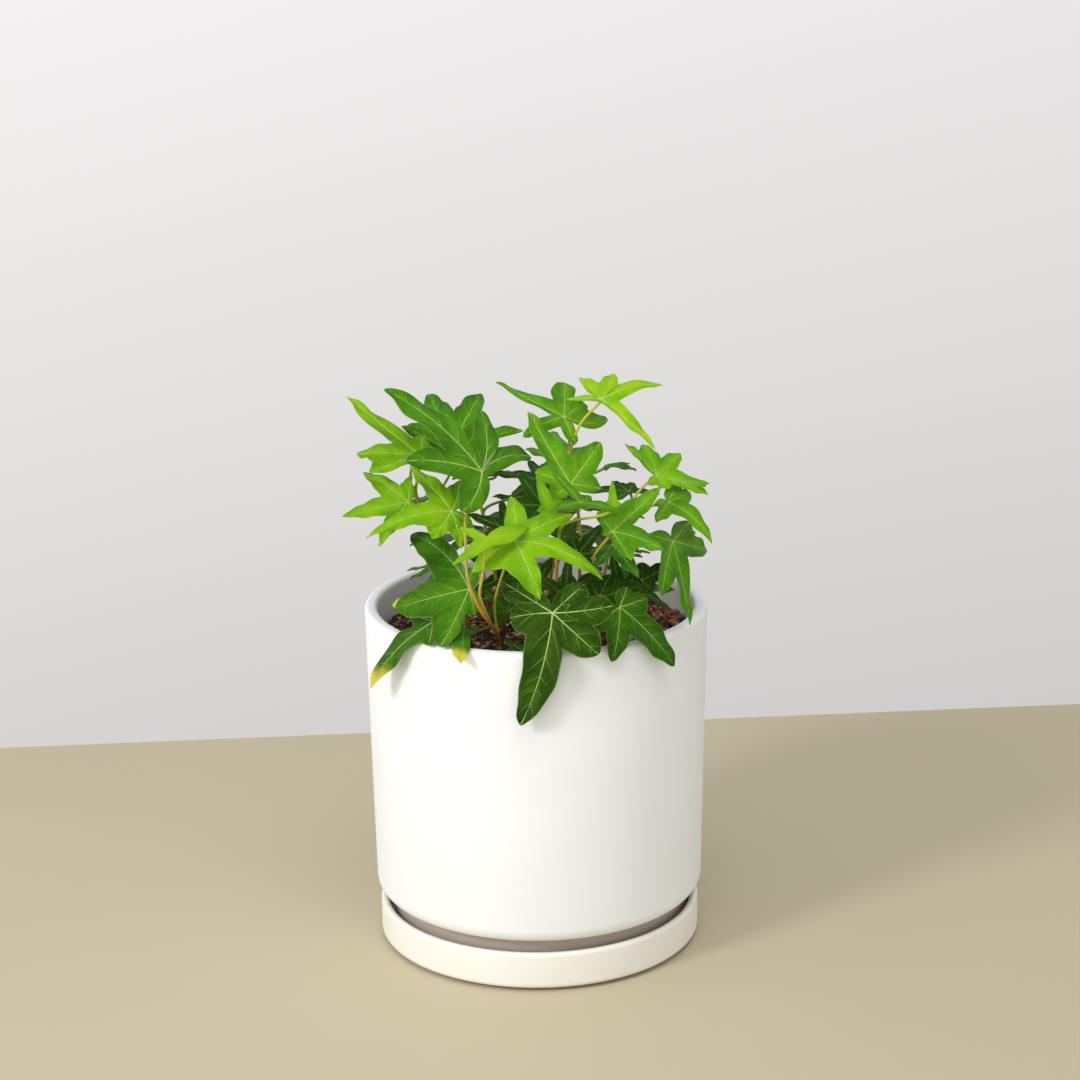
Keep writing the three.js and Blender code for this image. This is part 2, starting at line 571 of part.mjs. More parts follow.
// The stalk of a leaf: from inside the stem, up and over, to the seat on the blade's underside
function stalkCurve(stem, { on, seat, tip, face, via }) {
  const root = stem.getPoint(on);
  const end = new THREE.Vector3(...seat);
  const onward = new THREE.Vector3(...tip).sub(end).normalize();
  const under = facing(face).negate();
  end.addScaledVector(under, STALK_END_DEPTH);
  if (via.length) {
    const between = via.map((point) => new THREE.Vector3(...point));
    return new THREE.CatmullRomCurve3([root, ...between, end]);
  }
  const span = root.distanceTo(end);
  const rise = root.clone().addScaledVector(stem.getTangent(on), STALK_CLIMB * span);
  const bow = end.clone().addScaledVector(onward, -STALK_BEHIND * span);
  bow.addScaledVector(under, STALK_BELOW * span);
  return new THREE.CubicBezierCurve3(root, rise, bow, end);
}

// The largest closed surface of a solid, without any speck that joining seals inside it
function outerBody(body) {
  return body.decompose().reduce((kept, other) => (other.volume() > kept.volume() ? other : kept));
}

// A shoot: its stem, its leaf stalks and its blades, grown together in one body
function shootGeometry({ route, leaves }) {
  const [x, y, z] = route[0];
  const plumb = [-STEM_ROOT_DEPTH, -STEM_PLUMB_BELOW, STEM_PLUMB_ABOVE];
  const ground = plumb.map((rise) => [x, y, z + rise]);
  const points = [...ground, ...route.slice(1)].map((point) => new THREE.Vector3(...point));
  const above = new THREE.CatmullRomCurve3(points.slice(plumb.length - 1));
  const body = [rod(new THREE.CatmullRomCurve3(points), STEM_RADIUS, STEM_SIDES, STEM_STEPS)];
  leaves.forEach((sprout) => {
    body.push(rod(stalkCurve(above, sprout), STALK_RADIUS, STALK_SIDES, STALK_STEPS));
    body.push(bladeSolid(sprout));
  });
  return geometryOf(outerBody(wasm.Manifold.union(body)));
}

const plant = new THREE.Group();
plant.add(named('saucer', saucerGeometry(), 'saucer'));
plant.add(named('pot', potGeometry(), 'pot'));
plant.add(named('soil', soilGeometry(), 'soil'));
SHOOTS.forEach((shoot) => plant.add(named(shoot.name, shootGeometry(shoot), shoot.tone)));

export default plant;
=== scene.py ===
"""A potted english ivy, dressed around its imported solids: waxy lobed leaves with their veins, woody
stems, loose bark soil, and a matte white pot on its saucer. Run it as a script in Blender 4.5."""
import math
import random

import bpy
import numpy as np
from mathutils import Matrix, Vector, noise


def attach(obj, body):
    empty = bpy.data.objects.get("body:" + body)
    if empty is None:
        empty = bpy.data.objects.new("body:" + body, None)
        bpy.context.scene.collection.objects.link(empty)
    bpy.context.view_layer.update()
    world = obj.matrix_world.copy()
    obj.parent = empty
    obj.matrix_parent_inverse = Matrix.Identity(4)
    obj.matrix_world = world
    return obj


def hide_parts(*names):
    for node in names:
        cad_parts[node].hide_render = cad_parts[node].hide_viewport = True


bl_info = {
    "name": "Potted Ivy",
    "version": (1, 0, 0),
    "blender": (4, 5, 0),
    "location": "3D View > Sidebar > Ivy",
    "description": "Builds the leaves, soil, pot, saucer and stage of a potted english ivy",
    "category": "Add Mesh",
}

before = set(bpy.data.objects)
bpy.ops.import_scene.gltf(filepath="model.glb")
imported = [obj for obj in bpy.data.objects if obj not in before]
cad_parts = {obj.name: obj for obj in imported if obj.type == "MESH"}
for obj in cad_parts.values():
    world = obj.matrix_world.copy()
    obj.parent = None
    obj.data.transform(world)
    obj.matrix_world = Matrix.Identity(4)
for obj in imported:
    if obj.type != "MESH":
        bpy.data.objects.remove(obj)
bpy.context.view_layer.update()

MM = 0.001

# Points of a turned body nearer than this, in millimetres, are one, and an edge that turns by more
# than a crease's degrees stays sharp
MERGE = 0.002
WARE_CREASE = 40
LEAF_CREASE = 50

# Sizes of the pot, the saucer and the soil, in millimetres
RIM_HEIGHT = 133.5
POT_TOP_RADIUS = 65
POT_BASE_RADIUS = 63
POT_UNDERSIDE = 19.5
POT_EDGE_ROUND = 5.5
POT_WALL = 5
POT_FLOOR_TOP = 26.5
POT_FOOT_BOTTOM = 4.8
POT_COVE = 4
LIP_ROUND = 1.8
FOOT_RADIUS = 56.4
FOOT_EDGE = 0.8
FOOT_GLAZE_STEP = 0.5
DRAIN_RADIUS = 7.5
SAUCER_RADIUS = 61.8
SAUCER_HEIGHT = 15.5
SAUCER_WALL = 3
SAUCER_FLOOR = 4.5
SAUCER_EDGE_ROUND = 2
SAUCER_COVE = 1.5
SAUCER_FOOT_RADIUS = 58.5
SAUCER_FOOT_HEIGHT = 1.2
SAUCER_FOOT_EDGE = 0.4
SOIL_LEVEL = 121
SOIL_LUMP = 1.1
SOIL_CRUMB = 0.6
CRUMB_SCALE = 0.45
FINE_CRUMB_SCALE = 1.1
SOIL_LUMPY_DEPTH = 4
SOIL_GAP = 0.3
SOIL_RINGS = 60
SOIL_SEGMENTS = 180

# Loose bits on the soil, in millimetres: the room kept free at the wall and round a stem, and how
# high a bit may lie on others. At the pot's left they outgrow the smallest size by only a share of
# what they do at its right, and their size changes between two places from left to right.
WALL_ROOM = 2
STEM_ROOM = 1.5
HEAP = 0.8
FINE_SHARE = 0.12
FINE_END = -25
COARSE_START = 25

# How far a bit leans either way, in radians, and where the left of the pot ends for the bits that
# gather there, in parts of its radius
BIT_LEAN = 0.35
LEFT_END = -0.4

# Chunks as (how many forms they have, the first one's seed, bevel, jitter), in parts of their size
BARK_CHUNKS = (6, 0, 0.16, 0.16)
PALE_CHUNKS = (4, 20, 0.24, 0.08)

# Length, width and height of the chunks, each as (least, most) in millimetres. Those of the bark have
# their most in parts of the longest chip.
BARK_SIZES = ((1.1, 1), (0.8, 0.66), (0.4, 0.36))
PALE_SIZES = ((0.8, 2.4), (0.5, 1.1), (0.4, 1.0))

# The seeds of their places, how deep the bark lies in parts of its height, and the share of the pale
# bits that is sure to lie at the left. Those gathered bits are partly the finer, paler soil there and
# partly painted light that brightens the soil where the pot's wall shades it.
BARK_SEED = 11
PALE_SEED = 23
BARK_SINK = 0.3
PALE_LEFTWARD = 0.5

# The stems and the leaf stalks, in millimetres, the stalks' bow in parts of their span, and how near
# on the stem its direction at a stalk is read
STEM_ROOT_DEPTH = 15
STEM_PLUMB_BELOW = 4
STEM_PLUMB_ABOVE = 2
STEM_STEPS = 40
STEM_TAPER = 0.3
STALK_STEPS = 18
STALK_FLARE = 0.35
STALK_END_DEPTH = 0.2
STALK_CLIMB = 0.3
STALK_BEHIND = 0.2
STALK_BELOW = 0.25
STALK_NEAR = 0.01

# Shape of a blade, in parts of its middle lobe's length
NOTCH = 0.05
NOTCH_LIMIT = 0.85
SHORT_LOBE = 0.7
REAR_SHOULDER = 1.2
SHARP_SHOULDER = 0.8
BLUNT_SHOULDER = 1.15
SHARP_TIP_ALONG = 0.7
SHARP_TIP_WIDTH = 0.34
BLUNT_TIP_WIDTH = 0.85
PLEAT = 0.16
WAVE = 0.03
WAVE_TURN = 9.4
MARGIN_WAVE = 0.008
MARGIN_TURN = 17
SWELL = 0.012
SWELL_SCALE = 3.1

# The places across a lobe that its mesh has, from its vein at 0 to its margin at 1, and the fewest and
# most steps that it has along it
ACROSS = (0, 0.07, 0.2, 0.38, 0.58, 0.79, 1)
FEWEST_STEPS = 6
MOST_STEPS = 40

# Side veins of a blade: how far apart they leave the main vein, how they slant and curve towards the
# tip, how much they wander, and how far the blade puffs up between them
SIDE_VEIN_PITCH = 0.19
VEIN_SLANT = 1.25
VEIN_CURVE = 1.5
VEIN_WANDER = 0.8
WANDER_SCALE = 2.6
VEIN_PUFF = 0.0045

# A main vein stands out below by a part of the blade's length, less by a share towards its tip and
# right at the seat, and lies in a channel above, in millimetres
RIB_BELOW = 0.012
RIB_TAPER = 0.6
RIB_AT_SEAT = 0.5
SEAT_REACH = 0.02
CHANNEL = 0.1

# Share by which a blade is thinner at its margin
MARGIN_THIN = 0.6

# Where a tip begins to turn yellow and over which length it does
TIP_START = 0.45
TIP_LENGTH = 0.5

# A blade's number on its shoot and the place of its seat move its noise, so that no two are alike
SEED_PER_LEAF = 3.7
SEED_PER_MM = 0.1

# Lobes of a blade as (angle from the middle lobe in degrees, counted to the left, reach, width, bend
# of its vein in degrees, how far the blade fills the notch on its left). The last three are left out
# where they are those of a plain lobe.
PLAIN_LOBE = (1, 0, 1)
STAR = ((-108, 0.46), (-50, 0.7), (0, 1), (50, 0.7), (108, 0.46))
BROAD = ((-100, 0.6), (-50, 0.8), (0, 1), (50, 0.8), (100, 0.6))
SLIM = ((-52, 0.5), (0, 1), (52, 0.5))

# Shape of a blade's lobes as (half width, how blunt they are)
YOUNG = (0.12, 0.1)
GROWN = (0.14, 0.55)

# The camera stands where the photographer's did: distance, height and turn in millimetres and degrees
CAMERA_TARGET = (1.8, 0.0, 157.2)
CAMERA_DISTANCE = 1022.7
CAMERA_ELEVATION = 16.16
CAMERA_ROLL = -0.68
CAMERA_LENS = 90.33
SENSOR_WIDTH = 36.0

# The table ends behind the pot, along a line that runs slightly askew
TABLE_EDGE = (0.0, 226.0)
TABLE_TURN = 4.8
TABLE_SIZE = 6000.0

# The square softboxes, in metres: where they hang and how wide they are, and what they aim at
SOFTBOX_PLACE = (-0.86, -0.78, 0.8)
SOFTBOX_SIDE = 0.26
TOP_SOFTBOX_PLACE = (0.12, -0.5, 1.2)
TOP_SOFTBOX_SIDE = 0.5
LIGHT_AIM = (0.0, 0.0, 0.1)


def leaf(on, seat, tip, face, lobes=STAR, shape=GROWN, droop=0.12, via=(), tone=0.5, yellow=0.0):
    """A leaf: how far up its stem it sprouts, where its stalk meets the blade, the tip of its middle
    lobe, the way its upper face looks (degrees right of the front, degrees up), its lobes, their shape,
    how much its tips droop, points on the way of its stalk, its green from 0 dark to 1 lime, and how
    yellow its tip is. Places are in millimetres. The green is partly the leaf's own colour, lime when
    young and darker when older, and partly painted shade: the inner and hidden leaves get the darkest
    greens for the shade they lie in."""
    return {
        "on": on, "seat": seat, "tip": tip, "face": face, "lobes": lobes, "shape": shape,
        "droop": droop, "via": via, "tone": tone, "yellow": yellow,
    }


def shoot(node, slot, route, *leaves):
    """A shoot: its solid's name, its colour slot, which is not used, its stem's route from the soil up,
    and its leaves.
    """
    return {"node": node, "slot": slot, "route": route, "leaves": leaves}


# The shoots of the plant, in millimetres. The darkest tones, which the inner and hidden leaves have, are
# partly painted shade that darkens the leaves lying inside the plant.
SHOOTS = (
    shoot("shoot_front", "leaf_lime",
          ((-13, -36, 121), (-14, -39, 132), (-20, -56, 148), (-24, -59, 160), (-25, -48, 177)),
          leaf(1, (-19, -34, 193), (-54, -25, 222), (40, 45), ((-111, 0.59, 1, 24),
               (-57, 0.63, 1.1, -16), (0, 1, 1.1, -12), (43, 0.66, 1.1, -12), (103, 0.45, 1.3, 18)),
               (0.12, 0.85), tone=0.43),
          leaf(0.93, (-30, -44, 181), (-60, -56, 175), (5, 42), ((-132, 0.54, 1.1), (-77, 0.76, 1.4),
               (0, 1, 1, -14, 1.1), (38, 0.44, 1.2), (85, 0.46, 0.8), (128, 0.33, 0.9, 8)), (0.13, 0.2),
               droop=0.25, tone=0.72),
          leaf(0.36, (-17, -62, 176), (-29, -71, 169), (-15, 30), ((-66, 0.64), (0, 1, 1, 8),
               (165, 1.05, 2.1, -18)), (0.15, 0.4), via=((-20, -58, 154), (-19, -61, 161)), tone=0.77),
          leaf(0.1, (-7, -56, 173), (24, -62, 160), (10, 40), ((-124, 0.57, 1.2, -14, 1.5),
               (-46, 0.71, 1.15, 4, 0.85), (0, 1, 0.9, 20), (54, 0.73, 1.25, 8), (119, 0.63, 1.2, -8)),
               (0.14, 0.35), droop=0.25, via=((-15, -41, 144), (-12, -48, 158)), tone=0.7)),
    shoot("shoot_left", "leaf_lime",
          ((-28, -14, 121), (-31, -17, 145), (-38, -24, 166), (-43, -27, 182)),
          leaf(1, (-42, -24, 197), (-69, -3, 214), (25, 60), ((-105, 0.2), (-50, 0.25), (0, 1, 1, 8),
               (54, 0.61, 0.9), (80, 0.57, 0.8)), (0.14, 0.4), tone=0.7),
          leaf(0.9, (-46, -34, 182), (-70, -35, 177), (-5, 30), ((-105, 0.4), (-47, 0.83, 1.2, -6),
               (0, 1, 1.15, -2), (46, 0.8, 1, -6), (105, 0.4, 1.1)), (0.14, 0.25), tone=0.64),
          leaf(0.98, (-46, -28, 184), (-45, -24, 193), (-30, 30), SLIM, YOUNG, droop=-0.2, tone=0.9),
          leaf(0.75, (-31, -15, 196), (-49, -8, 204), (-10, 45), tone=0.3)),
    shoot("shoot_mid_left", "leaf_mid",
          ((-12, -6, 121), (-15, -7, 145), (-19, -10, 168), (-22, -12, 186)),
          leaf(1, (-30, -3, 196), (-40, 22, 209), (-20, 60), ((-99, 0.89, 0.9), (-42, 0.92, 1.5),
               (0, 1, 1.2), (38, 0.73, 1.2), (110, 0.5)), (0.14, 0.6), tone=0.42),
          leaf(0.7, (4, 4, 179), (-17, 10, 181), (-10, 70), tone=0.16),
          leaf(0.55, (5, 4, 170), (-16, 9, 172), (0, 70), tone=0.16),
          leaf(0.5, (-10, -20, 167), (-25, -12, 171), (-10, 50), BROAD, tone=0.1),
          leaf(0.25, (-8, -6, 146), (-26, 4, 150), (-10, 50), BROAD, tone=0.06),
          leaf(0.15, (-32, -4, 137), (-50, -3, 134), (-60, 55), BROAD, tone=0.1),
          leaf(0.3, (-3, 9, 144), (-2, 27, 139), (-175, 60), BROAD, tone=0.15)),
    shoot("shoot_low_left", "leaf_dark",
          ((-24, -26, 121), (-25, -32, 131), (-26, -38, 139)),
          leaf(0.9, (-24, -48, 153), (-51, -45, 145), (-25, 32), ((-105, 0.3), (-57, 1.17, 1.2, -20),
               (0, 1, 1.15, 0, 1.25), (53, 0.83, 1.2, 6, 1.3), (92, 0.36, 0.9)), (0.19, 0.75), tone=0.3),
          leaf(0.7, (-37, -49, 141), (-61, -43, 114), (-50, 30), ((-105, 0.25), (-55, 0.3),
               (0, 1, 1.3, -16), (52, 0.25), (100, 0.2)), (0.16, 0.5), tone=0.24, yellow=0.9),
          leaf(0.95, (-26, -50, 138), (-27, -66, 131), (0, 35), ((-60, 0.6), (0, 1), (75, 0.25)),
               (0.26, 0.5), tone=0.3, yellow=1),
          leaf(0.6, (-36, -35, 145), (-53, -28, 141), (-30, 55), ((-70, 0.78, 1.4), (0, 1, 1.8),
               (50, 0.6)), (0.16, 0.5), tone=0.3, yellow=1),
          leaf(0.35, (-10, -28, 138), (-20, -19, 144), (-10, 50), BROAD, tone=0.15)),
    shoot("shoot_top", "leaf_mid",
          ((4, -6, 121), (6, -10, 148), (11, -12, 176), (13, -9, 195)),
          leaf(1, (11, -5, 206), (-14, 2, 218), (25, 55), ((-138, 0.67, 1.3, -30),
               (-106, 0.46, 1.2, 0, 1.6), (-67, 0.65, 2.3, 0, 1.1), (0, 1, 0.55, 8), (66, 0.7, 1.1, -10),
               (138, 0.44, 1.3)), (0.11, 0.8), tone=0.52),
          leaf(0.95, (25, -12, 214), (44, -32, 200), (-10, 50), ((-139, 0.45, 0.9, -10, 0.3),
               (0, 1, 0.85, 4), (66, 0.75, 1.1, 18), (123, 0.46, 1.2, -6), (174, 0.52)), (0.13, 0.25),
               via=((17, -10, 204),), tone=0.8),
          leaf(0.7, (13, -34, 188), (-2, -13, 210), (20, 50), ((-115, 0.35), (-57, 0.71, 1.3),
               (0, 1, 1, 6), (50, 0.4), (108, 0.3)), (0.14, 0.6), tone=0.54),
          leaf(0.72, (27, -4, 187), (38, -12, 187), (0, 75), ((-60, 0.35), (0, 1), (27, 0.65)),
               (0.14, 0.3), tone=0.3)),
    shoot("shoot_centre", "leaf_mid",
          ((6, -22, 121), (7, -26, 140), (8, -29, 158), (9, -31, 170)),
          leaf(1, (16, -56, 187), (33, -54, 181), (25, 45), ((-149, 0.65, 1.2, -8), (0, 1, 1, 14),
               (45, 0.3), (131, 1.04, 1, 4)), (0.14, 0.3), tone=0.44),
          leaf(0.9, (6, -44, 180), (1, -40, 194), (-20, 34), ((-60, 0.4), (0, 1, 1.2, 4), (60, 0.35)),
               (0.17, 0.2), tone=0.62),
          leaf(0.7, (3, -16, 175), (-6, -1, 184), (-20, 50), tone=0.16),
          leaf(0.6, (11, -30, 167), (7, -22, 177), (0, 40), tone=0.08),
          leaf(0.45, (16, -19, 157), (25, -4, 164), (0, 45), tone=0.04),
          leaf(0.3, (14, -24, 143), (25, -9, 149), (0, 45), tone=0.04),
          leaf(0.97, (28, -44, 182), (28, -40, 191), (5, 20), ((-70, 0.35), (0, 1, 1.3), (70, 0.35)),
               (0.16, 0.2), tone=0.74),
          leaf(0.35, (0, -24, 146), (-6, -14, 158), (-5, 40), BROAD, tone=0.06)),
    shoot("shoot_right", "leaf_lime",
          ((24, -12, 121), (27, -16, 142), (32, -21, 162), (36, -23, 178)),
          leaf(1, (45, -20, 187), (64, -24, 185), (0, 48), ((-120, 0.25, 1.2), (-42, 0.4, 1.4),
               (-14, 1.05, 0.8, 0, 1.4), (0, 1, 0.9, -16), (60, 0.68, 1.9), (120, 0.88, 1, -10),
               (136, 1.13, 0.5)), (0.15, 0.35), tone=0.62),
          leaf(0.85, (49, -28, 179), (64, -41, 167), (25, 55), ((-115, 0.25), (-68, 0.51, 1.2),
               (0, 1, 1.1, 20, 1.3), (90, 0.5, 1.4, 0, 1.3), (122, 0.54, 1.3)), (0.15, 0.35), tone=0.57),
          leaf(0.65, (50, -34, 166), (56, -47, 138), (50, 25), ((-105, 0.37, 1.1), (-33, 0.77, 1, -8),
               (0, 1, 0.8, -4), (78, 0.63, 1.5), (118, 0.5, 1.4, 0, 1.2)), (0.15, 0.4), tone=0.47),
          leaf(0.9, (35, -16, 180), (16, -15, 180), (0, 75), ((-170, 0.61), (-100, 0.4), (-50, 0.5),
               (0, 1), (50, 0.5)), tone=0.18),
          leaf(0.2, (38, -8, 140), (53, 2, 136), (60, 60), BROAD, tone=0.1)),
    shoot("shoot_right_front", "leaf_mid",
          ((22, -26, 121), (24, -29, 138), (25, -33, 152)),
          leaf(1, (28, -45, 173), (46, -32, 186), (-20, 55), ((-110, 0.58, 1.1), (-76, 0.82, 1.2, 8),
               (0, 1, 1.7, -6, 1.5), (74, 0.46, 1.3, 0, 1.3), (149, 0.15, 0.9)), (0.13, 0.3),
               via=((21, -42, 162),), tone=0.49),
          leaf(0.9, (28, -38, 166), (37, -56, 159), (-15, 60), ((-108, 0.4), (-56, 0.65), (0, 1, 1.1),
               (50, 0.5), (108, 0.4)), (0.15, 0.4), tone=0.34),
          leaf(0.5, (31, -36, 147), (28, -26, 160), (10, 40), BROAD, tone=0.08),
          leaf(0.6, (39, -30, 150), (51, -21, 154), (10, 40), ((-110, 0.3), (-86, 0.39, 1.2, 0, 1.3),
               (0, 1, 1.3, -5, 1.3), (50, 0.49, 1.1), (110, 0.4)), (0.2, 0.5), tone=0.08)),
    shoot("shoot_low_right", "leaf_dark",
          ((14, -42, 121), (13, -44, 130), (14, -46, 138)),
          leaf(1, (6, -62, 148), (-6, -69, 108), (-12, 25), ((-104, 0.55, 0.95), (-67, 0.38, 1.05, -6),
               (0, 1, 1, 13, 1.05), (66, 0.53), (115, 0.52, 1, -6), (151, 0.37, 0.9)), (0.18, 0.7),
               droop=0.2, tone=0.04),
          leaf(0.9, (30, -56, 148), (50, -49, 123), (15, 35), ((-110, 0.4), (-59, 0.61, 0.9, 8),
               (0, 1, 1.1, 8, 1.6), (56, 0.39), (105, 0.25)), (0.17, 0.6), tone=0.25),
          leaf(0.95, (23, -42, 147), (39, -41, 151), (0, 35), ((-100, 0.4), (-50, 0.45), (0, 1, 1.15, 4),
               (50, 0.6), (100, 0.5)), (0.2, 0.7), tone=0.08),
          leaf(0.7, (11, -41, 147), (12, -31, 160), (0, 35), BROAD, tone=0.02),
          leaf(0.3, (-2, -50, 128), (-17, -52, 125), (0, 50), BROAD, tone=0.04)),
    shoot("shoot_back_left", "leaf_mid",
          ((-18, 14, 121), (-21, 18, 143), (-26, 22, 162), (-28, 24, 176)),
          leaf(1, (-30, 24, 187), (-51, 41, 184), (-140, 60), tone=0.4),
          leaf(0.8, (-34, 28, 168), (-55, 47, 157), (-130, 45), tone=0.3),
          leaf(0.5, (-27, 30, 151), (-43, 52, 143), (-145, 45), BROAD, tone=0.2),
          leaf(0.25, (-34, 16, 143), (-50, 26, 138), (-115, 50), BROAD, tone=0.3),
          leaf(0.9, (-15, 26, 176), (-19, 54, 168), (-170, 55), tone=0.12)),
    shoot("shoot_back_right", "leaf_mid",
          ((16, 14, 121), (17, 17, 140), (17, 20, 158), (15, 21, 172)),
          leaf(1, (12, 22, 182), (7, 46, 188), (-170, 55), tone=0.5),
          leaf(0.8, (22, 26, 162), (37, 50, 151), (150, 50), tone=0.32),
          leaf(0.5, (24, 22, 146), (45, 36, 141), (130, 50), tone=0.2),
          leaf(0.25, (32, 8, 141), (50, 14, 137), (100, 55), BROAD, tone=0.2),
          leaf(0.9, (5, 28, 166), (-1, 54, 159), (-175, 50), BROAD, tone=0.12)),
    shoot("shoot_back_low", "leaf_dark",
          ((-2, 34, 121), (-2, 38, 131), (-1, 42, 139)),
          leaf(1, (0, 60, 150), (2, 74, 122), (180, 30), BROAD, tone=0.2),
          leaf(0.8, (-20, 55, 145), (-28, 70, 120), (-160, 30), tone=0.26),
          leaf(0.8, (24, 54, 145), (34, 67, 121), (155, 30), tone=0.22, yellow=0.5),
          leaf(0.6, (9, 36, 143), (14, 54, 145), (170, 60), tone=0.3)),
)


def srgb(code):
    """A colour written as an sRGB hex value, as the linear colour that Blender works in."""
    values = [int(code[i:i + 2], 16) / 255 for i in (1, 3, 5)]
    return tuple(v / 12.92 if v <= 0.04045 else ((v + 0.055) / 1.055) ** 2.4 for v in values)


def colour(name, description, code):
    """A colour setting whose default is an sRGB hex value."""
    return bpy.props.FloatVectorProperty(
        name=name, description=description, subtype="COLOR", size=3, min=0, max=1, default=srgb(code))


def length(name, description, default, least):
    """A length setting whose default and least value are given in millimetres."""
    return bpy.props.FloatProperty(
        name=name, description=description, default=default * MM, min=least * MM,
        unit="LENGTH", subtype="DISTANCE")


def tally(name, description, default, least=0):
    """A setting that counts things."""
    return bpy.props.IntProperty(name=name, description=description, default=default, min=least)


def strength(name, description, default, unit="NONE"):
    """A setting of how strong a light is."""
    return bpy.props.FloatProperty(
        name=name, description=description, default=default, min=0, unit=unit)


class IVY_PG_ware(bpy.types.PropertyGroup):
    segments: tally("Segments", "Steps round the pot and the saucer", 160, 24)
    pot: colour("Pot", "Matte white of the pot", "#f3f6f9")
    saucer: colour("Saucer", "Cream white of the saucer", "#f1f1ec")
    # The foot's grey is partly unglazed stoneware and partly painted shade on the recessed feet of the
    # pot and the saucer
    shaded_clay: colour("Clay", "Bare clay of the pot's foot", "#b0a59a")


class IVY_PG_soil(bpy.types.PropertyGroup):
    chips: tally("Bark chips", "How many chips lie on the soil", 2200)
    crumbs: tally("Pale bits", "How many bits of perlite and straw lie on it", 1500)
    chip_length: length("Chip length", "Length of the largest bark chips", 6.5, 1)
    peat: colour("Peat", "Dark brown of the wet peat", "#38261c")
    bark: colour("Bark", "Red brown of the bark chips", "#a85c34")
    perlite: colour("Perlite", "Cream of the pale bits", "#efe0bd")


class IVY_PG_leaves(bpy.types.PropertyGroup):
    grid: length("Grid", "Spacing of a blade's mesh along its lobes", 1.2, 0.5)
    thickness: length("Thickness", "Thickness of a blade beside its veins", 0.45, 0.1)
    stem_radius: length("Stem radius", "Radius of a stem at the soil", 0.85, 0.3)
    stalk_radius: length("Stalk radius", "Radius of a leaf stalk at its middle", 0.5, 0.2)
    # The darkest green is that of the oldest leaves and also painted shade on the inner and hidden
    # leaves
    old_and_shaded: colour("Old leaf", "Green of the oldest leaves", "#17420b")
    dark: colour("Dark leaf", "Green of the dark leaves", "#33700f")
    mid: colour("Mid leaf", "Green of the full grown leaves", "#509412")
    lime: colour("Lime leaf", "Green of the young leaves", "#86bd10")
    newest: colour("Newest leaf", "Yellow green of the newest leaves", "#a8c616")
    vein: colour("Vein", "Pale green of the veins", "#bfd98a")
    sheen: colour("Sheen", "Tint that the green below lends to the wax", "#f2ff58")


class IVY_PG_stage(bpy.types.PropertyGroup):
    table: colour("Table", "Pale beige of the table", "#c5bb9e")
    key_power: strength("Key light", "Power of the softbox at the left", 7.4, "POWER")
    top_power: strength("Top light", "Power of the softbox overhead", 2.8, "POWER")
    room: strength("Room", "Strength of the light from behind the camera", 1.45)
    ceiling: strength("Ceiling", "Strength of the light from the ceiling", 0.55)


def add(tree, kind, inputs=None, stops=None, **settings):
    """Adds a shader node with its settings, its inputs and a ramp's stops. An input is a value, a
    socket to link, or a node, of which the first output in use is linked."""
    made = tree.nodes.new("ShaderNode" + kind)
    for key, value in settings.items():
        setattr(made, key, value)
    for key, value in (inputs or {}).items():
        socket = made.inputs[key]
        if isinstance(value, bpy.types.Node):
            value = next(output for output in value.outputs if output.enabled)
        if isinstance(value, bpy.types.NodeSocket):
            tree.links.new(value, socket)
        elif socket.type == "RGBA":
            socket.default_value = (*value, 1)
        else:
            socket.default_value = value
    if stops:
        elements = made.color_ramp.elements
        for _ in range(len(stops) - len(elements)):
            elements.new(0.5)
        for element, (place, shade) in zip(elements, stops):
            element.position = place
            element.color = (*shade, 1)
    return made


def new_material(name):
    """An empty material and its node tree."""
    material = bpy.data.materials.new(name)
    material.use_nodes = True
    material.node_tree.nodes.clear()
    return material, material.node_tree


def surfaced(material, shader):
    """The material with its shader on the surface."""
    add(material.node_tree, "OutputMaterial", {"Surface": shader})
    return material


def object_mm(tree):
    """The place on the object in millimetres, so that a pattern's scale reads as a real size."""
    place = add(tree, "TexCoord").outputs["Object"]
    return add(tree, "VectorMath", {0: place, "Scale": 1 / MM}, operation="SCALE")


def matte_stoneware(name, body, mottle, shaded_clay, glaze_end):
    """White stoneware under a matte glaze: even and soft, with a slight tooth from the glaze's crystals
    and a faint cloudiness where the glaze lies thicker. Below the height where the glaze ends it turns
    greyer, partly as unglazed fired stoneware and partly as painted shade on the recessed foot, which
    stands in shadow."""
    material, tree = new_material(name)
    place = object_mm(tree)
    cloud = add(tree, "TexNoise", {"Vector": place, "Scale": 1 / 28, "Detail": 3.0})
    specks = add(tree, "TexNoise", {"Vector": place, "Scale": 1 / 0.9, "Detail": 2.0})
    tinted = add(tree, "Mix", {"A": body, "B": mottle, "Factor": cloud}, data_type="RGBA")
    height = add(tree, "SeparateXYZ", {"Vector": place}).outputs["Z"]
    # Below the glaze's end the colour turns greyer: partly unglazed stoneware, partly painted shade on
    # the recessed foot
    bare_shaded_foot = add(tree, "MapRange", {
        "Value": height, "From Min": glaze_end + 0.2, "From Max": glaze_end - 0.2})
    shown = add(tree, "Mix", {"A": tinted, "B": shaded_clay, "Factor": bare_shaded_foot}, data_type="RGBA")
    gloss = add(tree, "MapRange", {"Value": specks, "To Min": 0.5, "To Max": 0.64})
    # A tooth of crystals that is really finer than 0.1 mm, drawn at 0.9 mm so that it shows
    tooth = add(tree, "Bump", {"Height": specks, "Strength": 0.12, "Distance": 0.15 * MM})
    return surfaced(material, add(tree, "BsdfPrincipled", {
        "Base Color": shown, "Roughness": gloss, "Normal": tooth, "IOR": 1.5}))


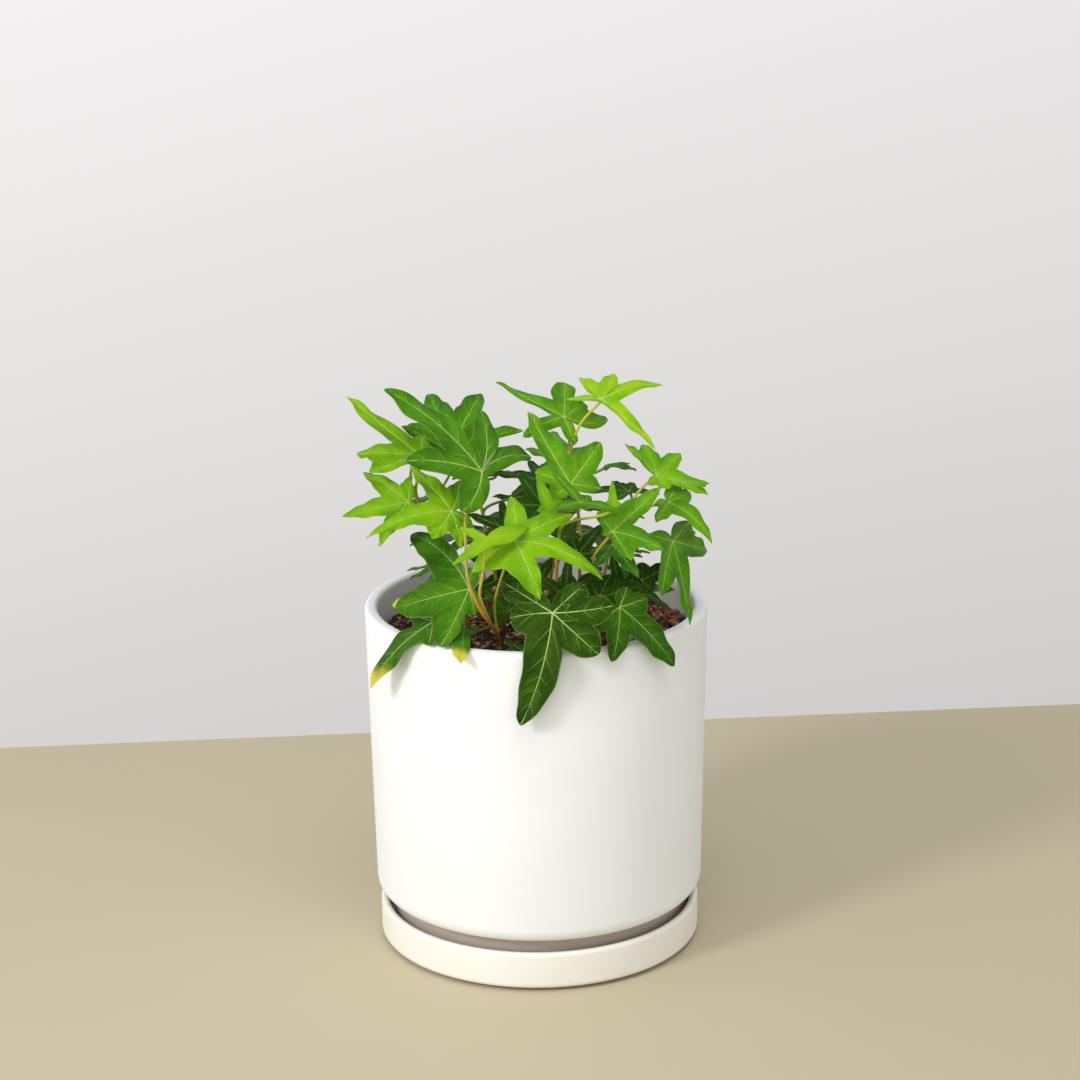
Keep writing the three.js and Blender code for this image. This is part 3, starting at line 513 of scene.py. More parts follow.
def peat_soil(colours):
    """Damp potting peat: brown on its crumbs and almost black in its pits, where the darkness is painted
    shade that follows the same noise as the bump.
    """
    material, tree = new_material("damp_peat")
    place = object_mm(tree)
    crumbs = add(tree, "TexVoronoi", {"Vector": place, "Scale": 1 / 1.6})
    fine = add(tree, "TexNoise", {"Vector": place, "Scale": 1 / 0.8, "Detail": 4.0})
    peat = tuple(colours.peat)
    # The fine noise both darkens the peat and sinks it, so its near black is painted shade in the pits
    shade = add(tree, "ValToRGB", {"Fac": fine}, stops=[
        (0.25, tuple(0.35 * c for c in peat)), (0.55, peat), (0.8, tuple(2.4 * c for c in peat))])
    pits = add(tree, "Math", {0: crumbs, 1: fine}, operation="ADD")
    relief = add(tree, "Bump", {"Height": pits, "Strength": 0.9, "Distance": 0.6 * MM})
    return surfaced(material, add(tree, "BsdfPrincipled", {
        "Base Color": shade, "Roughness": 0.8, "Normal": relief}))


def bark_chip(colours):
    """Composted pine bark: red brown plates with darker layers, and a damp sheen on some."""
    material, tree = new_material("composted_bark")
    place = object_mm(tree)
    kind = add(tree, "Attribute", attribute_name="grain").outputs["Fac"]
    layers = add(tree, "TexNoise", {"Vector": place, "Scale": 1 / 1.1, "Detail": 4.0})
    bark = tuple(colours.bark)
    # The palest chips, tan to cream, are partly pale bark and partly painted highlight for the glints on
    # damp chips
    own = add(tree, "ValToRGB", {"Fac": kind}, stops=[
        (0.0, tuple(0.08 * c for c in bark)), (0.35, tuple(0.4 * c for c in bark)), (0.62, bark),
        (0.85, srgb("#c48a63")), (1.0, srgb("#e6d4bd"))])
    streak = add(tree, "ValToRGB", {"Fac": layers}, stops=[
        (0.35, (0.3, 0.28, 0.26)), (0.65, (1.4, 1.3, 1.2))])
    shade = add(tree, "Mix", {"A": own, "B": streak, "Factor": 0.9},
                data_type="RGBA", blend_type="MULTIPLY")
    damp = add(tree, "MapRange", {"Value": kind, "To Min": 0.18, "To Max": 0.85})
    relief = add(tree, "Bump", {"Height": layers, "Strength": 0.8, "Distance": 0.3 * MM})
    return surfaced(material, add(tree, "BsdfPrincipled", {
        "Base Color": shade, "Roughness": damp, "Normal": relief}))


def pale_bit(colours):
    """Perlite and bits of straw: dry, chalky and cream coloured, and dusty brown in places."""
    material, tree = new_material("perlite_and_straw")
    kind = add(tree, "Attribute", attribute_name="grain").outputs["Fac"]
    dust = add(tree, "TexNoise", {"Vector": object_mm(tree), "Scale": 1 / 0.7, "Detail": 3.0})
    own = add(tree, "ValToRGB", {"Fac": kind}, stops=[
        (0.0, srgb("#a87c48")), (0.5, srgb("#d9bc84")), (0.85, tuple(colours.perlite)),
        (1.0, srgb("#f6f0e2"))])
    dusty = add(tree, "Mix", {"A": own, "B": srgb("#8e6c48"), "Factor": dust}, data_type="RGBA")
    return surfaced(material, add(tree, "BsdfPrincipled", {"Base Color": dusty, "Roughness": 0.9}))


def vein_masks(tree):
    """How far a place on a blade lies on a main vein, on a side vein and in the fine net between
    them, each from 0 to 1, and how far out it lies from its vein to its margin. The map "veins" has
    the number of the side vein and the distance from the main vein, and the map "share" has how far
    the place lies along its lobe and out from its vein."""
    vein = add(tree, "SeparateXYZ", {"Vector": add(tree, "UVMap", uv_map="veins")}).outputs
    part = add(tree, "SeparateXYZ", {"Vector": add(tree, "UVMap", uv_map="share")}).outputs
    # A main vein is about 0.6 mm wide at the seat of a 46 mm lobe and tapers to 0.2 mm
    width = add(tree, "MapRange", {"Value": part["X"], "To Min": 0.009, "To Max": 0.003})
    edge = add(tree, "Math", {0: width, 1: 0.45}, operation="MULTIPLY")
    main = add(tree, "MapRange", {"Value": vein["Y"], "From Min": width, "From Max": edge},
               interpolation_type="SMOOTHSTEP")
    # A side vein is a line in the middle of each pitch, 0.4 mm wide on the largest leaves
    turn = add(tree, "Math", {0: vein["X"]}, operation="FRACT")
    centred = add(tree, "Math", {0: turn, 1: 0.5}, operation="SUBTRACT")
    away = add(tree, "Math", {0: centred}, operation="ABSOLUTE")
    line = add(tree, "MapRange", {"Value": away, "From Min": 0.04, "From Max": 0.008},
               interpolation_type="SMOOTHSTEP")
    fade = add(tree, "MapRange", {"Value": part["Y"], "From Min": 0.9, "From Max": 0.1})
    side = add(tree, "Math", {0: line, 1: fade}, operation="MULTIPLY")
    net = add(tree, "TexVoronoi", {"Vector": object_mm(tree), "Scale": 1 / 1.7},
              feature="DISTANCE_TO_EDGE")
    mesh = add(tree, "MapRange", {"Value": net, "From Min": 0.13, "From Max": 0.0},
               interpolation_type="SMOOTHSTEP")
    return main, side, mesh, part["Y"]


def ivy_blade(name, colours, under):
    """Ivy leaf: a thick waxy cuticle over green tissue. Above, the veins are pale lines in shallow
    channels and the wax gives a soft broad sheen; below, the tissue is paler and duller and the
    veins stand out."""
    material, tree = new_material(name)
    main, side, mesh, outward = vein_masks(tree)
    place = object_mm(tree)
    look = add(tree, "Attribute", attribute_name="leaf_look")
    own = add(tree, "SeparateColor", {"Color": look}).outputs
    patches = add(tree, "TexNoise", {"Vector": place, "Scale": 1 / 11, "Detail": 3.0})
    grain = add(tree, "TexNoise", {"Vector": place, "Scale": 1 / 1.3, "Detail": 3.0})
    # A lobe is paler along its vein and deeper green towards its margin, and its green drifts
    paler = add(tree, "MapRange", {"Value": outward, "To Min": 0.08, "To Max": -0.08})
    drift = add(tree, "MapRange", {
        "Value": patches, "From Min": 0.3, "From Max": 0.7, "To Min": -0.1, "To Max": 0.1})
    speckle = add(tree, "MapRange", {"Value": grain, "To Min": -0.05, "To Max": 0.05})
    tone = own["Red"]
    for change in (paler, drift, speckle):
        tone = add(tree, "Math", {0: tone, 1: change}, operation="ADD")
    # The lowest tones, those of the inner and hidden leaves, give painted shade as well as the green of
    # older leaves
    green = add(tree, "ValToRGB", {"Fac": tone}, stops=[
        (0.05, colours.old_and_shaded), (0.3, colours.dark), (0.5, colours.mid), (0.78, colours.lime),
        (1.0, colours.newest)])
    pale = add(tree, "Math", {0: own["Red"], 1: 0.6}, operation="MULTIPLY")
    vein = add(tree, "Mix", {"A": colours.vein, "B": srgb("#d6e77e"), "Factor": pale},
               data_type="RGBA")
    # Autumn yellow creeps in from the tip
    worn = add(tree, "Math", {0: patches, 1: own["Blue"]}, operation="ADD")
    yellowed = add(tree, "MapRange", {"Value": worn, "From Min": 0.8, "From Max": 1.35},
                   interpolation_type="SMOOTHSTEP")
    margin = add(tree, "MapRange", {
        "Value": outward, "From Min": 0.94, "From Max": 1.0, "To Max": 0.3})
    layers = [(srgb("#d6cb48"), yellowed)]
    for mask, amount in zip((mesh, side, main), (0.05, 0.5, 0.8) if under else (0.03, 0.4, 0.85)):
        layers.append((vein, add(tree, "Math", {0: mask, 1: amount}, operation="MULTIPLY")))
    layers.append((srgb("#a9c66a"), margin))
    if under:
        layers.append((srgb("#a9c08f"), 0.42))
    shown = green
    for tint, amount in layers:
        shown = add(tree, "Mix", {"A": shown, "B": tint, "Factor": amount}, data_type="RGBA")
    # The veins lie sunk above and stand out below
    deep = add(tree, "Math", {0: main, 1: 1.6}, operation="MULTIPLY")
    both = add(tree, "Math", {0: deep, 1: side}, operation="ADD")
    pores = add(tree, "Math", {0: grain, 1: 0.9 if under else -0.9}, operation="MULTIPLY")
    height = add(tree, "Math", {0: both, 1: pores}, operation="ADD")
    relief = add(tree, "Bump", {"Height": height, "Strength": 0.5, "Distance": 0.22 * MM},
                 invert=not under)
    wax = add(tree, "MapRange", {
        "Value": grain, "To Min": 0.6 if under else 0.38, "To Max": 0.75 if under else 0.52})
    shader = add(tree, "BsdfPrincipled", {
        "Base Color": shown, "Roughness": wax, "Normal": relief, "IOR": 1.5,
        "Specular IOR Level": 0.26, "Specular Tint": colours.sheen})
    lit_through = add(tree, "BsdfTranslucent", {"Color": shown})
    return surfaced(material, add(tree, "MixShader", {0: 0.16, 1: shader, 2: lit_through}))


def ivy_stem():
    """Ivy stem: tan bark that is brown and woody at the soil, and smooth yellow green stalks."""
    material, tree = new_material("ivy_stem")
    place = object_mm(tree)
    look = add(tree, "Attribute", attribute_name="leaf_look")
    own = add(tree, "SeparateColor", {"Color": look}).outputs
    height = add(tree, "SeparateXYZ", {"Vector": place}).outputs["Z"]
    streaks = add(tree, "TexNoise", {"Vector": place, "Scale": 1 / 2.0, "Detail": 3.0})
    rise = add(tree, "MapRange", {
        "Value": height, "From Min": SOIL_LEVEL, "From Max": SOIL_LEVEL + 44})
    bark = add(tree, "ValToRGB", {"Fac": rise}, stops=[
        (0.0, srgb("#4d2c17")), (0.25, srgb("#9a6230")), (0.6, srgb("#c9953d")),
        (1.0, srgb("#a5a040"))])
    # A stalk takes its leaf's tone, so the stalks of the inner leaves carry the same painted shade
    stalk = add(tree, "ValToRGB", {"Fac": own["Green"]}, stops=[
        (0.1, srgb("#5d7a2c")), (0.5, srgb("#a8a63a")), (0.9, srgb("#c9c63c"))])
    kind = add(tree, "Mix", {"A": bark, "B": stalk, "Factor": own["Red"]}, data_type="RGBA")
    shade = add(tree, "MapRange", {"Value": streaks, "To Min": 0.7, "To Max": 1.25})
    streaked = add(tree, "VectorMath", {0: kind, "Scale": shade}, operation="SCALE")
    relief = add(tree, "Bump", {"Height": streaks, "Strength": 0.4, "Distance": 0.2 * MM})
    return surfaced(material, add(tree, "BsdfPrincipled", {
        "Base Color": streaked, "Roughness": 0.55, "Normal": relief}))


def only(piece):
    """Selects one object and nothing else."""
    bpy.ops.object.select_all(action="DESELECT")
    piece.select_set(True)
    bpy.context.view_layer.objects.active = piece


def mesh_object(name, points, edges=(), faces=()):
    """A new object from points in millimetres."""
    mesh = bpy.data.meshes.new(name)
    mesh.from_pydata([tuple(MM * c for c in point) for point in points], list(edges), list(faces))
    made = bpy.data.objects.new(name, mesh)
    bpy.context.scene.collection.objects.link(made)
    return made


def paint(mesh, name, kind, key, values):
    """Gives the points of a mesh an attribute that its material reads. Of a blade, leaf_look has the
    tone in red and the yellow in blue. Of a rod, it has 1 in red for a stalk and 0 for a stem, and
    the leaf's tone in green."""
    mesh.attributes.new(name, kind, "POINT").data.foreach_set(key, values)


def finish_piece(piece, node, materials=()):
    """Gives a piece its materials and says what it stands for."""
    for material in materials:
        piece.data.materials.append(material)
    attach(piece, "root")
    if node:
        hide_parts(node)


def arc(centre, radius, start, end, steps):
    """Points of an arc in a profile, from a first to a last angle in degrees."""
    angles = [math.radians(start + (end - start) * i / steps) for i in range(steps + 1)]
    return [(centre[0] + radius * math.cos(a), centre[1] + radius * math.sin(a)) for a in angles]


def spun(name, profile, segments, closed=False):
    """A body turned with the Spin operator from a profile of (radius, height)."""
    count = len(profile)
    edges = [(i, i + 1) for i in range(count - 1)]
    if closed:
        edges.append((count - 1, 0))
    piece = mesh_object(name, [(r, 0, z) for r, z in profile], edges)
    only(piece)
    bpy.ops.object.mode_set(mode="EDIT")
    bpy.ops.mesh.select_all(action="SELECT")
    bpy.ops.mesh.spin(steps=segments, angle=2 * math.pi, center=(0, 0, 0), axis=(0, 0, 1))
    bpy.ops.mesh.select_all(action="SELECT")
    bpy.ops.mesh.remove_doubles(threshold=MERGE * MM)
    bpy.ops.mesh.normals_make_consistent(inside=False)
    bpy.ops.object.mode_set(mode="OBJECT")
    bpy.ops.object.shade_smooth_by_angle(angle=math.radians(WARE_CREASE))
    return piece


def pot_radius(z):
    """Radius of the pot's outer face at a height."""
    rise = (z - POT_UNDERSIDE) / (RIM_HEIGHT - POT_UNDERSIDE)
    return POT_BASE_RADIUS + (POT_TOP_RADIUS - POT_BASE_RADIUS) * rise


def soil_height(x, y):
    """Height of the soil's top, with the same lumps as its solid."""
    lump = math.sin(0.31 * x + 1.7) * math.cos(0.27 * y) + 0.5 * math.sin(0.83 * x - 0.71 * y)
    return SOIL_LEVEL + SOIL_LUMP * lump


class IVY_OT_saucer(bpy.types.Operator):
    """Turns the saucer: a shallow tray with a round lip on a low foot"""
    bl_idname = "ivy.saucer"
    bl_label = "Saucer"

    def execute(self, context):
        ware = context.scene.ivy_ware
        lip = SAUCER_WALL / 2
        edge = SAUCER_EDGE_ROUND
        foot = SAUCER_FOOT_EDGE
        inner = SAUCER_RADIUS - SAUCER_WALL
        profile = [
            (0, 0),
            *arc((SAUCER_FOOT_RADIUS - foot, foot), foot, -90, 0, 3),
            (SAUCER_FOOT_RADIUS, SAUCER_FOOT_HEIGHT),
            *arc((SAUCER_RADIUS - edge, SAUCER_FOOT_HEIGHT + edge), edge, -85, 0, 8),
            *arc((SAUCER_RADIUS - lip, SAUCER_HEIGHT - lip), lip, 0, 180, 14),
            *arc((inner - SAUCER_COVE, SAUCER_FLOOR + SAUCER_COVE), SAUCER_COVE, 0, -90, 6),
            (0, SAUCER_FLOOR),
        ]
        piece = spun("saucer_tray", profile, ware.segments)
        glaze = matte_stoneware("cream_matte_stoneware", tuple(ware.saucer), srgb("#ebe9df"),
                                tuple(ware.shaded_clay), SAUCER_FOOT_HEIGHT)
        finish_piece(piece, "saucer", [glaze])
        return {"FINISHED"}


class IVY_OT_pot(bpy.types.Operator):
    """Turns the pot: a straight cup with a round lip, on a narrower foot"""
    bl_idname = "ivy.pot"
    bl_label = "Pot"

    def execute(self, context):
        ware = context.scene.ivy_ware
        cove = POT_FLOOR_TOP + POT_COVE
        inner_lip = POT_TOP_RADIUS - POT_WALL + LIP_ROUND
        profile = [
            (DRAIN_RADIUS, POT_FOOT_BOTTOM),
            *arc((FOOT_RADIUS - FOOT_EDGE, POT_FOOT_BOTTOM + FOOT_EDGE), FOOT_EDGE, -90, 0, 4),
            (FOOT_RADIUS, POT_UNDERSIDE - FOOT_GLAZE_STEP),
            (FOOT_RADIUS + FOOT_GLAZE_STEP, POT_UNDERSIDE),
            *arc((POT_BASE_RADIUS - POT_EDGE_ROUND, POT_UNDERSIDE + POT_EDGE_ROUND),
                 POT_EDGE_ROUND, -90, 0, 12),
            *arc((POT_TOP_RADIUS - LIP_ROUND, RIM_HEIGHT - LIP_ROUND), LIP_ROUND, 0, 90, 8),
            *arc((inner_lip, RIM_HEIGHT - LIP_ROUND), LIP_ROUND, 90, 180, 8),
            (pot_radius(cove) - POT_WALL, cove),
            (pot_radius(POT_FLOOR_TOP) - POT_WALL - POT_COVE, POT_FLOOR_TOP),
            (DRAIN_RADIUS, POT_FLOOR_TOP),
        ]
        piece = spun("pot_body", profile, ware.segments, closed=True)
        glaze = matte_stoneware("white_matte_stoneware", tuple(ware.pot), srgb("#ecefef"),
                                tuple(ware.shaded_clay), POT_UNDERSIDE)
        finish_piece(piece, "pot", [glaze])
        return {"FINISHED"}


def chunk(name, seed, bevel, jitter):
    """The vertices and faces of one loose chunk, modelled from a cube of size 1."""
    bpy.ops.mesh.primitive_cube_add(size=1)
    made = bpy.context.object
    made.name = name
    bpy.ops.object.mode_set(mode="EDIT")
    bpy.ops.mesh.bevel(offset=bevel, segments=1, affect="EDGES")
    bpy.ops.mesh.select_all(action="SELECT")
    bpy.ops.transform.vertex_random(offset=jitter, uniform=1.0, seed=seed)
    bpy.ops.object.mode_set(mode="OBJECT")
    points = np.array([vertex.co[:] for vertex in made.data.vertices])
    faces = [tuple(face.vertices) for face in made.data.polygons]
    mesh = made.data
    bpy.data.objects.remove(made)
    bpy.data.meshes.remove(mesh)
    return points, faces


def chunks(name, count, first_seed, bevel, jitter):
    """The forms that the copies of a loose chunk are taken from."""
    return [chunk(name, first_seed + number, bevel, jitter) for number in range(count)]


def scatter(name, forms, wanted, sizes, seed, sink=0, leftward=0):
    """Copies of the forms strewn over the soil. Sizes are (length, width, height) ranges in
    millimetres, sink is how deep they lie in parts of their height, and leftward is the share that
    is sure to lie at the left."""
    draw = random.Random(seed)
    stems = [plan["route"][0] for plan in SHOOTS]
    points, faces, looks = [], [], []
    reach = pot_radius(SOIL_LEVEL) - POT_WALL - WALL_ROOM
    placed = 0
    while placed < wanted:
        # The share kept at the left is partly painted light on the soil that the pot's wall shades
        right_end = LEFT_END * reach if draw.random() < leftward else reach
        x, y = draw.uniform(-reach, right_end), draw.uniform(-reach, reach)
        coarse = min(1, max(0, (x - FINE_END) / (COARSE_START - FINE_END)))
        big = draw.random() ** 2 * (FINE_SHARE + (1 - FINE_SHARE) * coarse)
        size = [low + (high - low) * big * draw.uniform(0.7, 1) for low, high in sizes]
        if math.hypot(x, y) > reach - size[0] / 3:
            continue
        if any(math.hypot(x - sx, y - sy) < STEM_ROOM + size[0] / 2 for sx, sy, _ in stems):
            continue
        body, sides = forms[placed % len(forms)]
        turn = Matrix.Rotation(draw.uniform(0, 2 * math.pi), 3, "Z")
        for axis in "XY":
            turn = turn @ Matrix.Rotation(draw.gauss(0, BIT_LEAN), 3, axis)
        move = np.array(turn)
        first = len(points)
        height = soil_height(x, y) + size[2] * (0.5 - sink) + draw.uniform(0, HEAP)
        points.extend((body * size) @ move.T + np.array([x, y, height]))
        faces.extend(tuple(first + i for i in side) for side in sides)
        looks.extend([draw.random()] * len(body))
        placed += 1
    piece = mesh_object(name, points, faces=faces)
    paint(piece.data, "grain", "FLOAT", "value", looks)
    return piece


class IVY_OT_soil(bpy.types.Operator):
    """Fills the pot with peat, strewn with bark chips and pale bits"""
    bl_idname = "ivy.soil"
    bl_label = "Soil"

    def execute(self, context):
        soil = context.scene.ivy_soil
        inside = pot_radius(SOIL_LEVEL) - POT_WALL - SOIL_GAP
        bottom = POT_FLOOR_TOP + SOIL_GAP
        profile = [
            (0, bottom),
            (pot_radius(POT_FLOOR_TOP) - POT_WALL - SOIL_GAP - POT_COVE, bottom),
            (pot_radius(POT_FLOOR_TOP + POT_COVE) - POT_WALL - SOIL_GAP, bottom + POT_COVE),
            (inside, SOIL_LEVEL - SOIL_LUMPY_DEPTH),
            *[(inside * ring / (SOIL_RINGS + 0.5), SOIL_LEVEL) for ring in range(SOIL_RINGS, -1, -1)],
        ]
        bed = spun("soil_bed", profile, SOIL_SEGMENTS)
        for vertex in bed.data.vertices:
            x, y, z = vertex.co / MM
            if z > SOIL_LEVEL - 1:
                rough = noise.noise(Vector((x, y, 0)) * CRUMB_SCALE)
                rough += 0.5 * noise.noise(Vector((x, y, 9)) * FINE_CRUMB_SCALE)
                vertex.co.z = MM * (soil_height(x, y) + SOIL_CRUMB * rough)
        finish_piece(bed, "soil", [peat_soil(soil)])
        sizes = [(least, most * soil.chip_length / MM) for least, most in BARK_SIZES]
        plates = chunks("bark_chunk", *BARK_CHUNKS)
        chips = scatter("bark_chips", plates, soil.chips, sizes, BARK_SEED, sink=BARK_SINK)
        finish_piece(chips, None, [bark_chip(soil)])
        lumps = chunks("pale_chunk", *PALE_CHUNKS)
        bits = scatter("perlite_bits", lumps, soil.crumbs, PALE_SIZES, PALE_SEED, leftward=PALE_LEFTWARD)
        finish_piece(bits, None, [pale_bit(soil)])
        return {"FINISHED"}


def catmull_rom(points, share):
    """A place on a smooth line through points, as a share of its knots."""
    spans = len(points) - 1
    span = min(int(spans * share), spans - 1)
    weight = spans * share - span
    before = points[span - 1] if span > 0 else 2 * points[0] - points[1]
    after = points[span + 2] if span < spans - 1 else 2 * points[-1] - points[-2]
    line = [before, points[span], points[span + 1], after]
    gaps = [np.linalg.norm(line[i + 1] - line[i]) ** 0.5 for i in range(3)]
    slopes = [(line[i + 1] - line[i]) / gaps[i] for i in range(3)]
    chords = [(line[i + 2] - line[i]) / (gaps[i] + gaps[i + 1]) for i in range(2)]
    leave = (slopes[0] - chords[0] + slopes[1]) * gaps[1]
    reach = (slopes[1] - chords[1] + slopes[2]) * gaps[1]
    rest = line[2] - line[1]
    return (line[1] + leave * weight + (3 * rest - 2 * leave - reach) * weight ** 2
            + (leave + reach - 2 * rest) * weight ** 3)


def bezier(points, share):
    """A place on a cubic curve of four points."""
    a, b, c, d = points
    rest = 1 - share
    return rest ** 3 * a + 3 * rest ** 2 * share * b + 3 * rest * share ** 2 * c + share ** 3 * d


def facing(face):
    """The way that a blade's upper face looks."""
    right, up = (math.radians(angle) for angle in face)
    return np.array([math.sin(right) * math.cos(up), -math.cos(right) * math.cos(up), math.sin(up)])


def stalk_line(stem, sprout, steps):
    """Points of a leaf's stalk, from inside the stem, up and over, to the seat of the blade."""
    root = catmull_rom(stem, sprout["on"])
    end = np.array(sprout["seat"], float)
    onward = np.array(sprout["tip"], float) - end
    onward /= np.linalg.norm(onward)
    under = -facing(sprout["face"])
    end = end + STALK_END_DEPTH * under
    shares = [i / steps for i in range(steps + 1)]
    if sprout["via"]:
        knots = [root, *[np.array(point, float) for point in sprout["via"]], end]
        return [catmull_rom(knots, share) for share in shares]
    span = np.linalg.norm(end - root)
    below = catmull_rom(stem, max(sprout["on"] - STALK_NEAR, 0))
    climb = catmull_rom(stem, min(sprout["on"] + STALK_NEAR, 1)) - below
    climb /= np.linalg.norm(climb)
    bow = end + span * (STALK_BELOW * under - STALK_BEHIND * onward)
    return [bezier((root, root + STALK_CLIMB * span * climb, bow, end), share) for share in shares]


def round_rod(name, line, radii, look):
    """A rod along a line: a bevelled curve turned into a mesh."""
    data = bpy.data.curves.new(name, "CURVE")
    data.dimensions = "3D"
    data.bevel_depth = MM
    data.bevel_resolution = 3
    data.use_fill_caps = True
    spline = data.splines.new("POLY")
    spline.points.add(len(line) - 1)
    for point, place, radius in zip(spline.points, line, radii):
        point.co = (*(MM * place), 1)
        point.radius = radius
    rod = bpy.data.objects.new(name, data)
    bpy.context.scene.collection.objects.link(rod)
    only(rod)
    bpy.ops.object.convert(target="MESH")
    rod = bpy.context.object
    paint(rod.data, "leaf_look", "FLOAT_COLOR", "color", list(look) * len(rod.data.vertices))
    return rod


def between(low, high, share):
    """The value at a share of the way from one to another."""
    return low + (high - low) * share


def lobe_width(belly, reach, broad):
    """How wide a lobe is on each side of its vein."""
    return belly * broad * between(SHORT_LOBE, 1, reach)


def lobe_edge(reach, width, blunt, depth, half_gap, rear):
    """The edge of half a lobe, from the sinus to the tip, in a frame along its vein."""
    along, across = depth * math.cos(half_gap), depth * math.sin(half_gap)
    rest = reach - along
    shoulder = between(SHARP_SHOULDER * across, BLUNT_SHOULDER * width, blunt)
    edge = [
        (along, across),
        (along + rest / 3, REAR_SHOULDER * width if rear else shoulder),
        (along + between(SHARP_TIP_ALONG, 1, blunt) * rest,
         between(SHARP_TIP_WIDTH, BLUNT_TIP_WIDTH, blunt) * width),
        (reach, 0.0),
    ]
    # No point of the edge goes past the line where the neighbour begins
    inside = [(a, a * math.tan(half_gap) if math.atan2(c, a) > half_gap else c) for a, c in edge]
    return [np.array(point) for point in inside]


def half_lobe(lobe, neighbour, shape, side, rear):
    """One half of a lobe, flat: from its vein out to its edge, and from the seat to its tip."""
    angle, reach, broad, bend, web = lobe
    belly, blunt = shape
    turn, swing = math.radians(angle), math.radians(bend)
    half_gap = math.radians(abs(neighbour[0] - angle)) / 2
    width = lobe_width(belly, reach, broad)
    meet = (width + lobe_width(belly, *neighbour[1:3])) / 2 / math.sin(half_gap)
    filled = (web if side > 0 else neighbour[4]) * meet
    depth = NOTCH if rear else min(filled, NOTCH_LIMIT * min(reach, neighbour[1]))
    edge = lobe_edge(reach, width, blunt, depth, half_gap, rear)

    def place(u, v, seed):
        rim = bezier(edge, u)
        wave = MARGIN_WAVE * math.sin(math.pi * u)
        wave *= math.sin(MARGIN_TURN * u * reach + seed + side + angle)
        a = between(reach * u, rim[0], v)
        c = v * (rim[1] + v * v * wave)
        inward = 1 - min(1, math.hypot(a, c) / reach)
        heading = turn + swing * inward * (1 - (math.atan2(c, a) / half_gap) ** 4)
        x = a * math.cos(heading) - side * c * math.sin(heading)
        y = a * math.sin(heading) + side * c * math.cos(heading)
        ripple = reach * v * v * math.sin(math.pi * u) * math.sin(WAVE_TURN * u + angle)
        return x, y, a, c, ripple

    return place


def blade_sheet(sprout, scale, grid, seed):
    """The middle surface of a blade in its own frame, where its middle lobe reaches 1 along x: its
    points, what they look like, its faces and the places of their corners on the maps."""
    lobes = [(*lobe, *PLAIN_LOBE[len(lobe) - 2:]) for lobe in sprout["lobes"]]
    shape, droop = sprout["shape"], sprout["droop"]
    points, looks, faces, maps, seen = [], [], [], [], {}

    def add_point(place, u, v):
        x, y, along, across, ripple = place(u, v, seed)
        key = (round(x * 1e4), round(y * 1e4))
        shift = VEIN_WANDER * noise.noise(Vector((x * WANDER_SCALE, y * WANDER_SCALE, seed)))
        slant = VEIN_SLANT * across + VEIN_CURVE * across * across
        pitch = (along - slant) / SIDE_VEIN_PITCH + shift
        if key not in seen:
            seen[key] = len(points)
            puff = VEIN_PUFF * math.cos(2 * math.pi * pitch) * min(1, 3 * v) * (1 - v ** 3)
            swell = SWELL * noise.noise(Vector((x * SWELL_SCALE, y * SWELL_SCALE, seed + 7)))
            z = (PLEAT * across + WAVE * ripple - droop * (x * x + y * y) - puff
                 + swell * min(1, 2 * math.hypot(x, y)))
            points.append((x, y, z))
            tip = max(0.0, min(1.0, (x - TIP_START) / TIP_LENGTH))
            rib = (1 - min(1, v / ACROSS[1])) * (1 - RIB_TAPER * u)
            rib *= 1 if along > SEAT_REACH else RIB_AT_SEAT
            looks.append((sprout["tone"], 0, sprout["yellow"] * tip, rib, v))
        return seen[key], (pitch, across), (u, v)

    def strip(place, side, steps):
        for i in range(steps):
            for j in range(len(ACROSS) - 1):
                corners = [add_point(place, (i + di) / steps, ACROSS[j + dj])
                           for di, dj in ((0, 0), (1, 0), (1, 1), (0, 1))]
                if side < 0:
                    corners.reverse()
                kept = [c for k, c in enumerate(corners) if c[0] != corners[k - 1][0]]
                faces.append([c[0] for c in kept])
                maps.append([c[1:] for c in kept])

    for i, lobe in enumerate(lobes):
        steps = max(FEWEST_STEPS, min(MOST_STEPS, round(lobe[1] * scale / grid)))
        first, last = lobes[0], lobes[-1]
        left = lobes[i + 1] if i < len(lobes) - 1 else (first[0] + 360, *first[1:])
        right = lobes[i - 1] if i > 0 else (last[0] - 360, *last[1:])
        strip(half_lobe(lobe, left, shape, 1, i == len(lobes) - 1), 1, steps)
        strip(half_lobe(lobe, right, shape, -1, i == 0), -1, steps)
    return np.array(points), np.array(looks), faces, maps


def axes(along, upward):
    """Right-angled axes, as rows: the first along a direction, the third nearest to another."""
    a = along / np.linalg.norm(along)
    c = upward - np.dot(upward, a) * a
    c /= np.linalg.norm(c)
    return np.array([a, np.cross(c, a), c])


def vertex_normals(points, faces):
    """Normals of a sheet at its points."""
    normals = np.zeros_like(points)
    for face in faces:
        a, b, c = (points[face[i]] for i in (0, 1, -1))
        normals[face] += np.cross(b - a, c - a)
    return normals / np.linalg.norm(normals, axis=1)[:, None]


